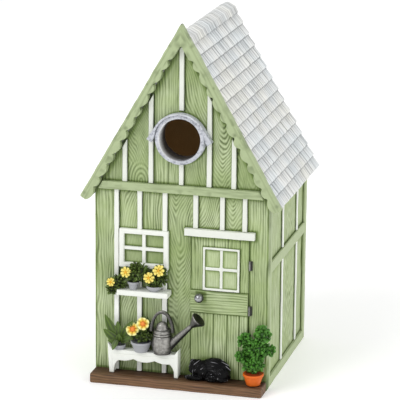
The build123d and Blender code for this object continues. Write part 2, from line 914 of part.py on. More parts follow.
with BuildPart() as bench_apron:
    lobe = (seat_right - seat_left) / apron_lobes
    apron_root = seat_bottom - apron_height
    with BuildSketch(front_plane(bench_reach - apron_thickness)):
        with BuildLine():
            Polyline(
                (seat_left, apron_root),
                (seat_left, seat_bottom),
                (seat_right, seat_bottom),
                (seat_right, apron_root),
            )
            for index in range(apron_lobes):
                start = seat_left + index * lobe
                ThreePointArc(
                    (start, apron_root),
                    (start + lobe / 2, apron_root - apron_lobe_depth),
                    (start + lobe, apron_root),
                )
        make_face()
    extrude(amount=apron_thickness)
pieces["bench_apron"] = bench_apron

# Pots on the bench, with daisies in one and a hosta in the other
bench_pot_x = bench_centre + bench_pot_place
hosta_x = bench_centre + hosta_pot_place
hosta_lead = relief_back + hosta_pot[0] / 2
bench_pot_shape = pot(bench_pot_x, bench_lead, seat_top, bench_pot)
hosta_pot_shape = pot(hosta_x, hosta_lead, seat_top, hosta_pot)
with BuildPart() as bench_pots:
    add(bench_pot_shape)
    add(hosta_pot_shape)
    split(bisect_by=front_plane(relief_back), keep=Keep.TOP)
pieces["bench_pots"] = bench_pots

bench_pot_top = seat_top + bench_pot[2]
bench_clump = clump(bench_balls, bench_pot_x, bench_pot_top, relief_back)
with BuildPart() as bench_foliage:
    add(bench_clump)
    stem(bench_pot_x, bench_lead, seat_top, bench_pot)
pieces["bench_foliage"] = bench_foliage

bench_blooms = flowers(bench_balls, bench_pot_x, bench_pot_top, relief_back)
with BuildPart() as bench_flowers:
    add(bench_blooms)
pieces["bench_flowers"] = bench_flowers

with BuildPart() as hosta_leaves:
    crown_foot = Vector(hosta_x, front - hosta_lead, seat_top + hosta_pot[2] - soil_drop)
    with Locations(crown_foot):
        Cylinder(crown_diameter / 2, crown_height, align=(Align.CENTER, Align.CENTER, Align.MIN))
    lean = radians(leaf_lean)
    for angle, length, width in hosta_blades:
        tilt = radians(angle)
        along = Vector(sin(tilt) * cos(lean), -sin(lean), cos(tilt) * cos(lean))
        sideways = Vector(cos(tilt), 0, -sin(tilt))
        leaf_root = crown_foot + Vector(0, 0, crown_height - leaf_seat)
        with BuildSketch(Plane(origin=leaf_root, x_dir=along, z_dir=sideways.cross(along))):
            with BuildLine():
                ThreePointArc((0, 0), (length / 2, width / 2), (length, 0))
                ThreePointArc((length, 0), (length / 2, -width / 2), (0, 0))
            make_face()
        extrude(amount=leaf_thickness / 2, both=True)
    split(bisect_by=Plane.XY.offset(crown_foot.Z), keep=Keep.TOP)
pieces["hosta_leaves"] = hosta_leaves

# Watering can: body with a half lid, a strap handle over it and a spout with a rose
can_x = bench_centre + can_place
can_top = seat_top + can_height
can_band_bottom = can_top - can_band_height
can_shape = turned(
    can_x,
    bench_lead,
    [
        (0, seat_top),
        *[(out * can_diameter / 2, seat_top + up * (can_band_bottom - seat_top)) for out, up in can_belly],
        (can_band_diameter / 2, can_band_bottom),
        (can_neck_diameter / 2, can_top),
        (can_lid_diameter / 2, can_top),
        *[(across * can_lid_diameter / 2, can_top + up * can_lid_height) for across, up in can_lid_curve],
        (0, can_top + can_lid_height),
    ],
)
with BuildPart() as watering_can_body:
    add(can_shape)
    split(bisect_by=front_plane(relief_back), keep=Keep.TOP)
pieces["watering_can_body"] = watering_can_body

with BuildPart() as watering_can_handle:
    handle_foot = can_top - can_band_height / 2
    handle_radius = can_band_diameter / 2 + slip_fit
    with BuildSketch(front_plane(bench_lead - can_handle_width / 2)):
        with Locations((can_x, handle_foot)):
            Ellipse(handle_radius + can_handle_wall, can_handle_height + can_handle_wall)
            Ellipse(handle_radius, can_handle_height, mode=Mode.SUBTRACT)
        with Locations((can_x, handle_foot - can_handle_height)):
            Rectangle(2 * can_diameter, 2 * can_handle_height, mode=Mode.SUBTRACT)
    extrude(amount=can_handle_width)
pieces["watering_can_handle"] = watering_can_handle

with BuildPart() as watering_can_spout:
    spout_foot = Vector(can_x + can_spout_root, front - bench_lead, seat_top + can_spout_height)
    spout_axis = Vector(can_spout_run, -can_spout_lean, can_spout_rise)
    spout_length = spout_axis.length - can_rose_length
    spout_plane = Plane(origin=spout_foot, z_dir=spout_axis)
    upwards = (Align.CENTER, Align.CENTER, Align.MIN)
    with Locations(spout_plane):
        Cone(can_spout_foot / 2, can_spout_neck / 2, spout_length, align=upwards)
    with Locations(spout_plane.offset(spout_length)):
        Cone(can_spout_neck / 2, can_rose_diameter / 2, can_rose_length, align=upwards)
    with Locations(spout_plane.offset(spout_length + can_rose_length)):
        Cylinder(can_rose_diameter / 2, can_rose_rim, align=upwards)
    add(can_shape, mode=Mode.SUBTRACT)
pieces["watering_can_spout"] = watering_can_spout

# Cat curled up on the porch: place and half lengths of each mass as shares of its own size
cat_left = bench_right + cat_gap
cat_lead = door_thickness + relief_clearance + cat_depth / 2
cat_masses = [
    egg(
        (cat_left + along * cat_length, front - cat_lead - ahead * cat_depth, porch_height + up * cat_height),
        (long * cat_length, deep * cat_depth, tall * cat_height),
    )
    for along, ahead, up, long, deep, tall in cat_shape
]
with BuildPart() as sleeping_cat:
    add(cat_masses)
    split(bisect_by=Plane.XY.offset(porch_height), keep=Keep.TOP)
pieces["sleeping_cat"] = sleeping_cat

# Clay pot with a shrub at the right of the door
porch_pot_x = half_width - porch_pot_inset
porch_pot_shape = pot(porch_pot_x, bench_lead, porch_height, porch_pot)
with BuildPart() as terracotta_pot:
    add(porch_pot_shape)
pieces["terracotta_pot"] = terracotta_pot

porch_pot_top = porch_height + porch_pot[2]
shrub_back = door_thickness + relief_clearance
shrub_clump = clump(shrub_balls, porch_pot_x, porch_pot_top, shrub_back)
with BuildPart() as shrub:
    add(shrub_clump)
    stem(porch_pot_x, bench_lead, porch_height, porch_pot)
pieces["shrub"] = shrub

# Clean-out hatch in the back wall
with BuildPart() as rear_hatch:
    block(
        (-hatch_width / 2, back_face - hatch_thickness, hatch_bottom),
        (hatch_width / 2, back_face, hatch_bottom + hatch_height),
    )
    with BuildSketch(back_plane(0)):
        with Locations(*moving_screw_places):
            Circle(screw_bore)
    extrude(amount=-screw_length, mode=Mode.SUBTRACT)
pieces["rear_hatch"] = rear_hatch

# Butt hinges: leaves on the wall and on the hatch, with knuckles that share a pin
knuckle = knuckle_diameter / 2
axis_out = back_face + knuckle_clearance + knuckle
knuckle_span = (hinge_height - 2 * knuckle_clearance) / 3
knuckle_end = hinge_height / 2
middle_knuckles = [(-knuckle_span / 2, knuckle_span / 2)]
end_knuckles = [(-knuckle_end, knuckle_span - knuckle_end), (knuckle_end - knuckle_span, knuckle_end)]


def hinge_leaves(side, spans, screw_places):
    """The leaves of both hinges on one side of the pins: -X on the wall, +X on the hatch."""
    near, far = (side * reach - hinge_x for reach in (knuckle + knuckle_clearance, hinge_leaf_width))
    plate = sorted((near, far))
    tab = sorted((near, -hinge_x))
    leaf_out = back_face + hinge_leaf_thickness
    with BuildPart() as leaves:
        for place in hinge_places:
            block(
                (plate[0], back_face, place - hinge_height / 2),
                (plate[1], leaf_out, place + hinge_height / 2),
            )
            for low, high in spans:
                block((tab[0], back_face, place + low), (tab[1], leaf_out, place + high))
                with Locations((-hinge_x, axis_out, place + (low + high) / 2)):
                    Cylinder(knuckle, high - low)
            with Locations((-hinge_x, axis_out, place)):
                Cylinder(pin_diameter / 2 + running_clearance, 2 * hinge_height, mode=Mode.SUBTRACT)
        with BuildSketch(back_plane(0)):
            with Locations(*screw_places):
                Circle(screw_bore)
        extrude(amount=hinge_leaf_thickness, mode=Mode.SUBTRACT)
    return leaves


pieces["hatch_fixed_leaves"] = hinge_leaves(-1, end_knuckles, fixed_screw_places)
pieces["hatch_moving_leaves"] = hinge_leaves(1, middle_knuckles, moving_screw_places)

with BuildPart() as hatch_pins:
    for place in hinge_places:
        with Locations((-hinge_x, axis_out, place)):
            Cylinder(pin_diameter / 2, hinge_height)
        head_rise = (hinge_height + pin_head_height) / 2
        with Locations((-hinge_x, axis_out, place - head_rise), (-hinge_x, axis_out, place + head_rise)):
            Cylinder(pin_head_diameter / 2, pin_head_height)
pieces["hatch_pins"] = hatch_pins


def screws(places, seat):
    """Round-headed screws whose heads sit this far out from the back wall."""
    with BuildPart() as fasteners:
        with BuildSketch(back_plane(seat)):
            with Locations(*places):
                Circle(screw_diameter / 2)
        extrude(amount=-(seat + screw_length - screw_tip_clearance))
        with BuildSketch(back_plane(seat)):
            with Locations(*places):
                Circle(screw_head_diameter / 2)
        extrude(amount=screw_head_height)
    return fasteners.part


leaf_screws = screws(moving_screw_places, hinge_leaf_thickness)
with BuildPart() as hatch_leaf_screws:
    add(leaf_screws)
pieces["hatch_leaf_screws"] = hatch_leaf_screws

wall_leaf_screws = screws(fixed_screw_places, hinge_leaf_thickness)
hanger_screws = screws(plate_screw_places, plate_thickness)
with BuildPart() as back_wall_screws:
    add(wall_leaf_screws)
    add(hanger_screws)
pieces["back_wall_screws"] = back_wall_screws

# Turn button that holds the hatch shut when it is turned across its edge, and the screw it turns on
with BuildPart() as turn_button:
    with BuildSketch(back_plane(button_clearance)):
        with Locations(button_place):
            SlotOverall(button_length, button_width, rotation=90)
            Circle(button_screw_diameter / 2 + running_clearance, mode=Mode.SUBTRACT)
    extrude(amount=button_thickness)
pieces["turn_button"] = turn_button

with BuildPart() as turn_button_screw:
    button_seat = button_clearance + button_thickness + running_clearance
    with BuildSketch(back_plane(button_seat)):
        with Locations(button_place):
            Circle(button_screw_diameter / 2)
    extrude(amount=-(button_seat + button_screw_length - screw_tip_clearance))
    with BuildSketch(back_plane(button_seat)):
        with Locations(button_place):
            Circle(button_screw_head_diameter / 2)
    extrude(amount=button_screw_head_height)
pieces["turn_button_screw"] = turn_button_screw

# Hanger plate with a keyhole, over the pocket in the back wall
with BuildPart() as keyhole_plate:
    with BuildSketch(back_plane(0)):
        with Locations((0, plate_middle)):
            Rectangle(plate_width, plate_height)
        with Locations((0, keyhole_height)):
            Circle(keyhole_diameter / 2, mode=Mode.SUBTRACT)
        with Locations((0, keyhole_height + keyhole_slot_length / 2)):
            SlotCenterToCenter(keyhole_slot_length, keyhole_slot_width, rotation=90, mode=Mode.SUBTRACT)
        with Locations(*plate_screw_places):
            Circle(screw_bore, mode=Mode.SUBTRACT)
    extrude(amount=plate_thickness)
pieces["keyhole_plate"] = keyhole_plate

os.makedirs("parts", exist_ok=True)
for name, piece in pieces.items():
    piece.part.label = name
    export_step(piece.part, f"parts/{name}.step")
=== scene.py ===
import functools
import json
import math
import random

import bpy
import numpy as np
from mathutils import Matrix, Vector

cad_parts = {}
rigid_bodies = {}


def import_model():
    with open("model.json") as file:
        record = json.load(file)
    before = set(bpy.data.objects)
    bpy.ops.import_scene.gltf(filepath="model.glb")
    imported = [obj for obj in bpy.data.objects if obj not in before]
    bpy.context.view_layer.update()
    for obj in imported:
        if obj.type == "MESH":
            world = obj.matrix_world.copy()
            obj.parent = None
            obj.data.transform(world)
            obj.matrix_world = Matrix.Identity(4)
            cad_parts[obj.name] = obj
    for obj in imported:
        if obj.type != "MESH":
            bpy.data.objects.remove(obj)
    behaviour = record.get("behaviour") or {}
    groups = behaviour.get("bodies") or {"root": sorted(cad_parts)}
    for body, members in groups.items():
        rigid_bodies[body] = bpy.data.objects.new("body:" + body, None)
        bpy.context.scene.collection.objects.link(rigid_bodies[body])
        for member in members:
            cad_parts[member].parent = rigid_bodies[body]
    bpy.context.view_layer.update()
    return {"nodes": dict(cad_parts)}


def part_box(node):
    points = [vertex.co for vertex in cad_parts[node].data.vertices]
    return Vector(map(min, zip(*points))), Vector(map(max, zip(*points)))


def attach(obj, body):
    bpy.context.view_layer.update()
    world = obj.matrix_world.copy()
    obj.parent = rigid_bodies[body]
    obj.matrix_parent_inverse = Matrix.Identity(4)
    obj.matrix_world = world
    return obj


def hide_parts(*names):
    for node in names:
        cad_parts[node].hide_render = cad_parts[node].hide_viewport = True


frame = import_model()

bl_info = {
    "name": "Cottage Birdhouse",
    "version": (1, 0, 0),
    "blender": (4, 5, 0),
    "location": "View3D > Sidebar > Birdhouse",
    "description": "Dresses a cottage birdhouse with carved boards, shingles, plants, a can and a cat",
    "category": "Object",
}

MM = 0.001
HOUSE = "house"


def paint_colour(red, green, blue):
    """Colour of a paint swatch, from 0 to 255, as the light values that shaders take."""
    shares = [value / 255 for value in (red, green, blue)]
    return tuple(s / 12.92 if s <= 0.04045 else ((s + 0.055) / 1.055) ** 2.4 for s in shares)


def colour(name, description, red, green, blue):
    """Colour property with its default as a paint swatch."""
    return bpy.props.FloatVectorProperty(
        name=name,
        description=description,
        subtype="COLOR",
        size=3,
        min=0.0,
        max=1.0,
        default=paint_colour(red, green, blue),
    )


def length(name, description, millimetres):
    """Length property with its default in millimetres."""
    return bpy.props.FloatProperty(
        name=name, description=description, unit="LENGTH", default=millimetres * MM, precision=5
    )


def angle(name, description, degrees):
    """Angle property with its default in degrees."""
    return bpy.props.FloatProperty(
        name=name, description=description, subtype="ANGLE", default=math.radians(degrees)
    )


def number(name, description, value, unit="NONE"):
    """Number property."""
    return bpy.props.FloatProperty(name=name, description=description, unit=unit, default=value)


class BirdhousePaint(bpy.types.PropertyGroup):
    """Colours of the paints."""

    wall: colour("Wall", "Green on the raised grain of the walls", 190, 203, 161)
    wall_groove: colour("Wall groove", "Dark green wash in the grain", 92, 107, 60)
    trim: colour("Trim", "Light green of the bargeboards and the beam", 169, 183, 140)
    side_trim: colour("Side trim", "Light green of the side posts and rails", 173, 187, 143)
    white: colour("White", "White of the battens, frames and bench", 226, 229, 220)
    # Painted light: a lighter copy of the white for the side battens, which stand in shade
    side_white: colour("Side white", "White of the side battens", 246, 248, 243)
    porch: colour("Porch", "Brown of the porch plank", 120, 86, 58)
    porch_groove: colour("Porch groove", "Dark brown in the plank's grain", 36, 22, 15)
    shingle: colour("Shingle", "Whitewash of the shingles", 237, 238, 235)
    # Also the painted shadow under each course of shingles
    shingle_groove: colour("Shingle groove", "Grey in the shingles' grooves", 158, 159, 161)
    roof_board: colour("Roof board", "Grey resin under the shingles", 150, 150, 150)
    ring: colour("Entrance", "Grey of the entrance ring and its hood", 200, 203, 210)
    pot: colour("Pots", "Grey of the small pots", 163, 165, 169)
    clay: colour("Clay", "Orange of the porch pot", 222, 102, 10)
    leaf: colour("Leaf", "Green of the flowers' leaves", 104, 126, 54)
    # Painted shade deep inside the foliage
    leaf_dark: colour("Leaf shade", "Dark green inside the foliage", 24, 38, 14)
    hosta: colour("Hosta", "Green of the long leaves", 82, 106, 30)
    shrub: colour("Shrub", "Bright green of the shrub", 92, 150, 54)
    # Painted shade deep inside the shrub
    shrub_dark: colour("Shrub shade", "Dark green inside the shrub", 26, 66, 26)
    petal: colour("Petal", "Yellow of the shelf flowers' tips", 253, 236, 124)
    petal_root: colour("Petal root", "Deeper yellow at the petals' roots", 247, 208, 66)
    petal_pale: colour("Pale petal", "Pale yellow of the bench flowers' tips", 255, 250, 168)
    eye: colour("Flower eye", "Gold of the shelf flowers' eyes", 232, 172, 44)
    eye_orange: colour("Orange eye", "Orange of the bench flowers' eyes", 234, 132, 42)
    pewter: colour("Pewter", "Metallic paint of the can", 178, 176, 171)
    # Painted shade on the metal's sides turned from the light, and the dark wash in its hollows
    pewter_dark: colour("Pewter shade", "Dark wash on the metallic paint", 30, 29, 28)
    knob: colour("Knob", "Silver paint of the door knob", 176, 177, 180)
    iron: colour("Iron", "Dark metal of the door hinges", 168, 167, 164)
    cat: colour("Cat", "Black of the cat", 7, 7, 8)
    # Painted highlights: the grey glints on the cat's fur
    cat_shine: colour("Cat highlights", "Grey dry-brushed on the fur", 160, 160, 164)
    steel: colour("Steel", "Hinges, screws and hanger at the back", 170, 172, 174)
    inside: colour("Inside", "Bare resin inside the house", 236, 202, 142)


class BirdhouseCarving(bpy.types.PropertyGroup):
    """Sizes of the carved surfaces."""

    grain: length("Grain spacing", "Distance between the carved grain lines", 1.9)
    grain_depth: length("Grain depth", "Depth of the carved grain lines", 0.5)
    board_step: length("Board mesh", "Mesh step across the grained walls", 0.4)
    fine_step: length("Fine mesh", "Mesh step of the small trim", 0.36)
    wobble: length("Hand carving", "How uneven the trim is", 0.28)
    wobble_size: length("Carving size", "Length of the uneven stretches", 7.0)


class BirdhouseStudio(bpy.types.PropertyGroup):
    """Camera and light."""

    yaw: angle("Yaw", "Camera's turn to the right", 14.44)
    pitch: angle("Pitch", "Camera's height angle", 15.01)
    roll: angle("Roll", "Camera's tilt", 0.53)
    distance: length("Distance", "From the camera to its aim", 1548.71)
    lens: number("Lens", "Focal length", 209.76, "CAMERA")
    key: number("Key light", "Power of the lamp ahead on the left", 12.0, "POWER")
    fill: number("Fill light", "Power of the lamp on the right", 5.0, "POWER")
    rear: number("Rear light", "Power of the lamp behind", 6.5, "POWER")
    sky: number("Sky", "Strength of the white surround", 0.62)


# Places that the CAD part fixes, in metres
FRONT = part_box("front_wall")[0].y
FRONT_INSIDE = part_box("front_wall")[1].y
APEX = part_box("front_wall")[1].z
HALF_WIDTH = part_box("front_wall")[1].x
ROOF_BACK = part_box("ridge_cap")[1].y
PANEL_OUTSIDE = HALF_WIDTH - 2 * MM
PITCH = math.radians(60.3)
HOLE = Vector((0.0, FRONT, 171.4 * MM))


def settings():
    """The carving sizes of the scene."""
    return bpy.context.scene.birdhouse_carving


def paints():
    """The paint colours of the scene."""
    return bpy.context.scene.birdhouse_paint


# Selecting and finishing


def activate(piece):
    """Leave one object selected and active, in object mode."""
    if bpy.context.object and bpy.context.object.mode != "OBJECT":
        bpy.ops.object.mode_set(mode="OBJECT")
    bpy.ops.object.select_all(action="DESELECT")
    piece.select_set(True)
    bpy.context.view_layer.objects.active = piece


def settle(piece):
    """Apply an object's place, turn and scale, so that it sits at the origin."""
    activate(piece)
    bpy.ops.object.transform_apply(location=True, rotation=True, scale=True)


def edit_all(piece):
    """Go into edit mode with everything selected."""
    activate(piece)
    bpy.ops.object.mode_set(mode="EDIT")
    bpy.ops.mesh.select_all(action="SELECT")


def leave_edit():
    """Back to object mode."""
    bpy.ops.object.mode_set(mode="OBJECT")


def face_outwards(piece):
    """Turn the faces of closed solids outwards."""
    edit_all(piece)
    bpy.ops.mesh.normals_make_consistent(inside=False)
    leave_edit()


def loose_parts(piece):
    """Split an object into one object for each separate solid."""
    name = piece.name
    edit_all(piece)
    bpy.ops.mesh.separate(type="LOOSE")
    leave_edit()
    return [o for o in bpy.context.scene.objects if o.name.startswith(name)]


def primitive(kind, scale=(1, 1, 1), **values):
    """A primitive of this kind at its size and place, with its object at the origin."""
    bpy.ops.object.select_all(action="DESELECT")
    getattr(bpy.ops.mesh, f"primitive_{kind}_add")(**values)
    piece = bpy.context.object
    piece.scale = scale
    settle(piece)
    return piece


def linked(name, data):
    """New object in the scene for a mesh, a lamp or a camera."""
    piece = bpy.data.objects.new(name, data)
    bpy.context.scene.collection.objects.link(piece)
    return piece


def apply_modifier(piece, kind, **values):
    """Add a modifier with these values and apply it."""
    activate(piece)
    modifier = piece.modifiers.new(kind.title(), kind)
    for name, value in values.items():
        setattr(modifier, name, value)
    bpy.ops.object.modifier_apply(modifier=modifier.name)


def join(pieces, name):
    """One object from several."""
    activate(pieces[0])
    for piece in pieces[1:]:
        piece.select_set(True)
    if len(pieces) > 1:
        bpy.ops.object.join()
    pieces[0].name = name
    pieces[0].data.name = name
    return pieces[0]


def coat(mesh, material):
    """Make this a mesh's only material."""
    mesh.materials.clear()
    mesh.materials.append(material)


def hand_over(piece, material, slot, *nodes, body=HOUSE):
    """Give a finished piece its material, put it on its body and hide the CAD nodes that it stands for."""
    coat(piece.data, material)
    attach(piece, body)
    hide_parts(*nodes)
    return piece


def dress(node, material):
    """Give a CAD node that stays a better material."""
    coat(frame["nodes"][node].data, material)


def points_of(piece, what="co"):
    """Places of a mesh's points as an array."""
    values = np.empty(len(piece.data.vertices) * 3)
    piece.data.vertices.foreach_get(what, values)
    return values.reshape(-1, 3)


def normals_of(piece):
    """Directions of a mesh's points as an array."""
    return points_of(piece, "normal")


def move_points(piece, places):
    """Put a mesh's points at these places."""
    piece.data.vertices.foreach_set("co", places.ravel())
    piece.data.update()


def mark(piece, name, values):
    """Keep one number for each point, for the material to read."""
    layer = piece.data.attributes.get(name) or piece.data.attributes.new(name, "FLOAT", "POINT")
    layer.data.foreach_set("value", np.asarray(values, np.float32))


def marks_of(piece, name):
    """The numbers that are kept for the points."""
    values = np.empty(len(piece.data.vertices))
    piece.data.attributes[name].data.foreach_get("value", values)
    return values


def mark_inside(piece, test):
    """Keep for each face whether it is bare resin inside the house."""
    layer = piece.data.attributes.new("inside", "FLOAT", "FACE")
    layer.data.foreach_set("value", [float(test(face)) for face in piece.data.polygons])


def mesh_piece(name, places, faces, smooth=True):
    """Object from lists of points and faces, for shapes that repeat many times."""
    mesh = bpy.data.meshes.new(name)
    mesh.from_pydata([tuple(p) for p in places], [], faces)
    mesh.update()
    piece = linked(name, mesh)
    activate(piece)
    if smooth:
        bpy.ops.object.shade_smooth()
    return piece


def loft(faces, base, ring, steps):
    """Join rings of points in a row into a closed solid."""
    for step in range(steps):
        near, far = base + step * ring, base + (step + 1) * ring
        for row in range(ring):
            after = (row + 1) % ring
            faces.append((near + row, near + after, far + after, far + row))
    faces.append(tuple(range(base, base + ring))[::-1])
    faces.append(tuple(range(base + steps * ring, base + steps * ring + ring)))


# Carved surfaces


def unit(values):
    """Values held between 0 and 1."""
    return np.clip(values, 0, 1)


def bell(distance, width):
    """Share that is 1 at no distance and fades with this width."""
    return np.exp(-((distance / width) ** 2))


def deepest(*layers):
    """The highest value of several layers at each point."""
    return functools.reduce(np.maximum, layers)


def smooth_noise(across, along, seed):
    """Soft noise from -1 to 1 over two directions."""
    size = 128
    table = np.random.RandomState(seed).uniform(-1, 1, (size, size))
    low_a, low_b = np.floor(across).astype(int), np.floor(along).astype(int)
    share_a, share_b = across - low_a, along - low_b
    share_a, share_b = (s * s * (3 - 2 * s) for s in (share_a, share_b))
    rows, columns = (low_a % size, (low_a + 1) % size), (low_b % size, (low_b + 1) % size)
    near, far = (table[rows[0], c] * (1 - share_a) + table[rows[1], c] * share_a for c in columns)
    return near * (1 - share_b) + far * share_b


def patches(across, along, wide, long, seed):
    """Soft noise in patches of this width and length, in millimetres."""
    return smooth_noise(across / (wide * MM), along / (long * MM), seed)


# Width and length of the patches, in millimetres, over which carved grain changes
SWIRL_PATCH = 16, 24
DRIFT_PATCH = 8, 70
JITTER_PATCH = 2.8, 12
DEPTH_PATCH = 2.4, 9
FOLD_WANDER = 30 * MM


def carved_grain(across, along, seed, slant=0.0, folded=False, swirl=0.0, spacing=None):
    """Height of carved wood grain, from 0 in a groove to 1 on a ridge, for a board that runs along.
    Slant leans the lines, folding mirrors them about the board's middle and swirl bends them."""
    spacing = spacing or settings().grain
    lean = across
    if folded:
        wander = 2 * MM * smooth_noise(along / FOLD_WANDER, along * 0, seed + 4)
        middle = (across.min() + across.max()) / 2 + wander
        lean = np.sqrt((across - middle) ** 2 + (0.8 * MM) ** 2)
    lean = lean + slant * along + swirl * patches(across, along, *SWIRL_PATCH, seed)
    drift = 0.7 * patches(across, along, *DRIFT_PATCH, seed + 1)
    drift = drift + 0.42 * patches(across, along, *JITTER_PATCH, seed + 2)
    ridge = 0.5 + 0.5 * np.cos(2 * math.pi * (lean / spacing + drift))
    depth = 0.7 + 0.3 * patches(across, along, *DEPTH_PATCH, seed + 3)
    return 1 - depth * (1 - ridge) ** 0.85


def copy_of(node, name):
    """Own copy of a CAD node, with its loose triangles merged into closed solids."""
    piece = linked(name, frame["nodes"][node].data.copy())
    edit_all(piece)
    bpy.ops.mesh.remove_doubles(threshold=1e-6)
    bpy.ops.mesh.normals_make_consistent(inside=False)
    leave_edit()
    return piece


def remeshed(piece, step, soften=2):
    """Even mesh with softened edges."""
    apply_modifier(piece, "REMESH", mode="VOXEL", voxel_size=step, use_smooth_shade=True)
    if soften:
        apply_modifier(piece, "SMOOTH", factor=0.5, iterations=soften)
    return piece


def uneven(piece, amount, size, seed, proud=0.0):
    """Dent a surface a little, as hand carving does, from a start that may stand proud."""
    places, normals = points_of(piece), normals_of(piece)
    a = smooth_noise(places[:, 0] / size + places[:, 1] / size * 0.7, places[:, 2] / size, seed)
    b = smooth_noise(places[:, 1] / size * 2.3, (places[:, 0] + places[:, 2]) / size * 2.1, seed + 5)
    dent = (0.5 + 0.33 * a + 0.17 * b) * amount - proud
    move_points(piece, places - normals * dent[:, None])
    return piece


def carved(node, name, seed, step=None, amount=None, soften=2, proud=0.0):
    """Softened, slightly uneven copy of a CAD node."""
    sizes = settings()
    piece = remeshed(copy_of(node, name), step or sizes.fine_step, soften)
    return uneven(piece, sizes.wobble if amount is None else amount, sizes.wobble_size, seed, proud)


def engrave(piece, facing, across_axis, along_axis, seed, share=1.0, **grain):
    """Cut wood grain into the faces that point one way, and keep its height for the paint."""
    places, normals = points_of(piece), normals_of(piece)
    height = carved_grain(places[:, across_axis], places[:, along_axis], seed, **grain)
    weight = unit((normals @ np.array(facing) - 0.3) / 0.5)
    cut = (1 - height) * weight * settings().grain_depth * share
    move_points(piece, places - normals * cut[:, None])
    mark(piece, "grain", 1 - (1 - height) * (0.25 + 0.75 * weight))
    return piece


def grained_sheet(name, width, tall, step, rows):
    """Flat upright grid facing -Y with its lower left corner at the origin.
    Rows says how much taller than wide its meshes are."""
    columns = round(width / step)
    piece = primitive("grid", x_subdivisions=columns, y_subdivisions=round(tall / (rows * step)), size=1)
    piece.name = name
    places = points_of(piece)
    upright = np.zeros_like(places)
    upright[:, 0] = (places[:, 0] + 0.5) * width
    upright[:, 2] = (places[:, 1] + 0.5) * tall
    move_points(piece, upright)
    return piece


def close_back(piece, plane):
    """Turn an upright sheet that faces -Y into a closed board: extrude its border back and fill it."""
    edit_all(piece)
    bpy.ops.mesh.region_to_loop()
    bpy.ops.mesh.extrude_region_move(TRANSFORM_OT_translate={"value": (0, 1 * MM, 0)})
    bpy.ops.transform.resize(value=(1, 0, 1), center_override=(0, plane, 0))
    bpy.ops.mesh.fill(use_beauty=False)
    bpy.ops.mesh.select_all(action="SELECT")
    bpy.ops.mesh.normals_make_consistent(inside=False)
    leave_edit()
    bpy.ops.object.shade_smooth_by_angle(angle=math.radians(60))
    mark_inside(piece, lambda face: abs(face.center.y - plane) < 0.01 * MM)


# Materials

WHITE, BLACK = (1, 1, 1), (0, 0, 0)


def grey(level):
    """A grey of this level."""
    return level, level, level


def shade(tone, share):
    """A colour made darker or lighter."""
    return tuple(min(1.0, value * share) for value in tone)


def tinted(tone, *shares):
    """A colour with its red, green and blue each made weaker."""
    return tuple(value * share for value, share in zip(tone, shares))


class Paint:
    """A material in the making, with short names for the nodes that the finishes share."""

    def __init__(self, name, roughness=0.6):
        self.material = bpy.data.materials.new(name)
        self.material.use_nodes = True
        self.tree = self.material.node_tree
        self.tree.nodes.clear()
        output = self.add("ShaderNodeOutputMaterial")
        self.shader = self.add("ShaderNodeBsdfPrincipled")
        self.shader.inputs["Roughness"].default_value = roughness
        self.join(self.shader.outputs["BSDF"], output.inputs["Surface"])
        self.place = self.add("ShaderNodeTexCoord").outputs["Object"]

    def add(self, kind, **values):
        node = self.tree.nodes.new(kind)
        for name, value in values.items():
            setattr(node, name, value)
        return node

    def join(self, start, end):
        self.tree.links.new(start, end)

    def stretched(self, scale):
        mapping = self.add("ShaderNodeMapping")
        mapping.inputs["Scale"].default_value = scale
        self.join(self.place, mapping.inputs["Vector"])
        return mapping.outputs["Vector"]

    def noise(self, scale, detail=3.0, stretch=(1, 1, 1)):
        node = self.add("ShaderNodeTexNoise")
        node.inputs["Scale"].default_value = scale
        node.inputs["Detail"].default_value = detail
        self.join(self.stretched(stretch), node.inputs["Vector"])
        return node.outputs["Fac"]

    def attribute(self, name):
        return self.add("ShaderNodeAttribute", attribute_name=name).outputs["Fac"]

    def edges(self):
        return self.add("ShaderNodeNewGeometry").outputs["Pointiness"]

    def apply_shade_and_stain(self, base, *tones):
        """A colour darkened through these tones where it is marked: real stains and dark seams, and painted
        shade beside, under and round things.
        """
        stops = [(index / len(tones), tone) for index, tone in enumerate((WHITE, *tones))]
        return self.mix(1.0, base, self.ramp(self.attribute("wash"), *stops), "MULTIPLY")

    def bare_inside(self):
        """Share of bare resin: faces marked as inside, up to the outside of the back wall."""
        split = self.add("ShaderNodeSeparateXYZ")
        self.join(self.place, split.inputs["Vector"])
        ahead = self.add("ShaderNodeMath", operation="LESS_THAN")
        self.join(split.outputs["Y"], ahead.inputs[0])
        ahead.inputs[1].default_value = INSIDE_END
        both = self.add("ShaderNodeMath", operation="MULTIPLY")
        self.join(ahead.outputs["Value"], both.inputs[0])
        self.join(self.attribute("inside"), both.inputs[1])
        return both.outputs["Value"]

    def ramp(self, share, *stops):
        node = self.add("ShaderNodeValToRGB")
        marks = node.color_ramp.elements
        while len(marks) < len(stops):
            marks.new(0.5)
        for element, (place, tone) in zip(marks, stops):
            element.position = place
            element.color = (*tone, 1)
        self.join(share, node.inputs["Fac"])
        return node.outputs["Color"]

    def mix(self, share, first, second, blend="MIX"):
        node = self.add("ShaderNodeMix", data_type="RGBA", blend_type=blend)
        for value, socket in ((share, node.inputs[0]), (first, node.inputs[6]), (second, node.inputs[7])):
            if isinstance(value, bpy.types.NodeSocket):
                self.join(value, socket)
            elif isinstance(value, (int, float)):
                socket.default_value = value
            else:
                socket.default_value = (*value, 1)
        return node.outputs[2]

    def colour(self, value):
        socket = self.shader.inputs["Base Color"]
        if isinstance(value, bpy.types.NodeSocket):
            self.join(value, socket)
        else:
            socket.default_value = (*value, 1)

    def bump(self, height, distance, strength=1.0):
        node = self.add("ShaderNodeBump")
        node.inputs["Strength"].default_value = strength
        node.inputs["Distance"].default_value = distance
        self.join(height, node.inputs["Height"])
        self.join(node.outputs["Normal"], self.shader.inputs["Normal"])
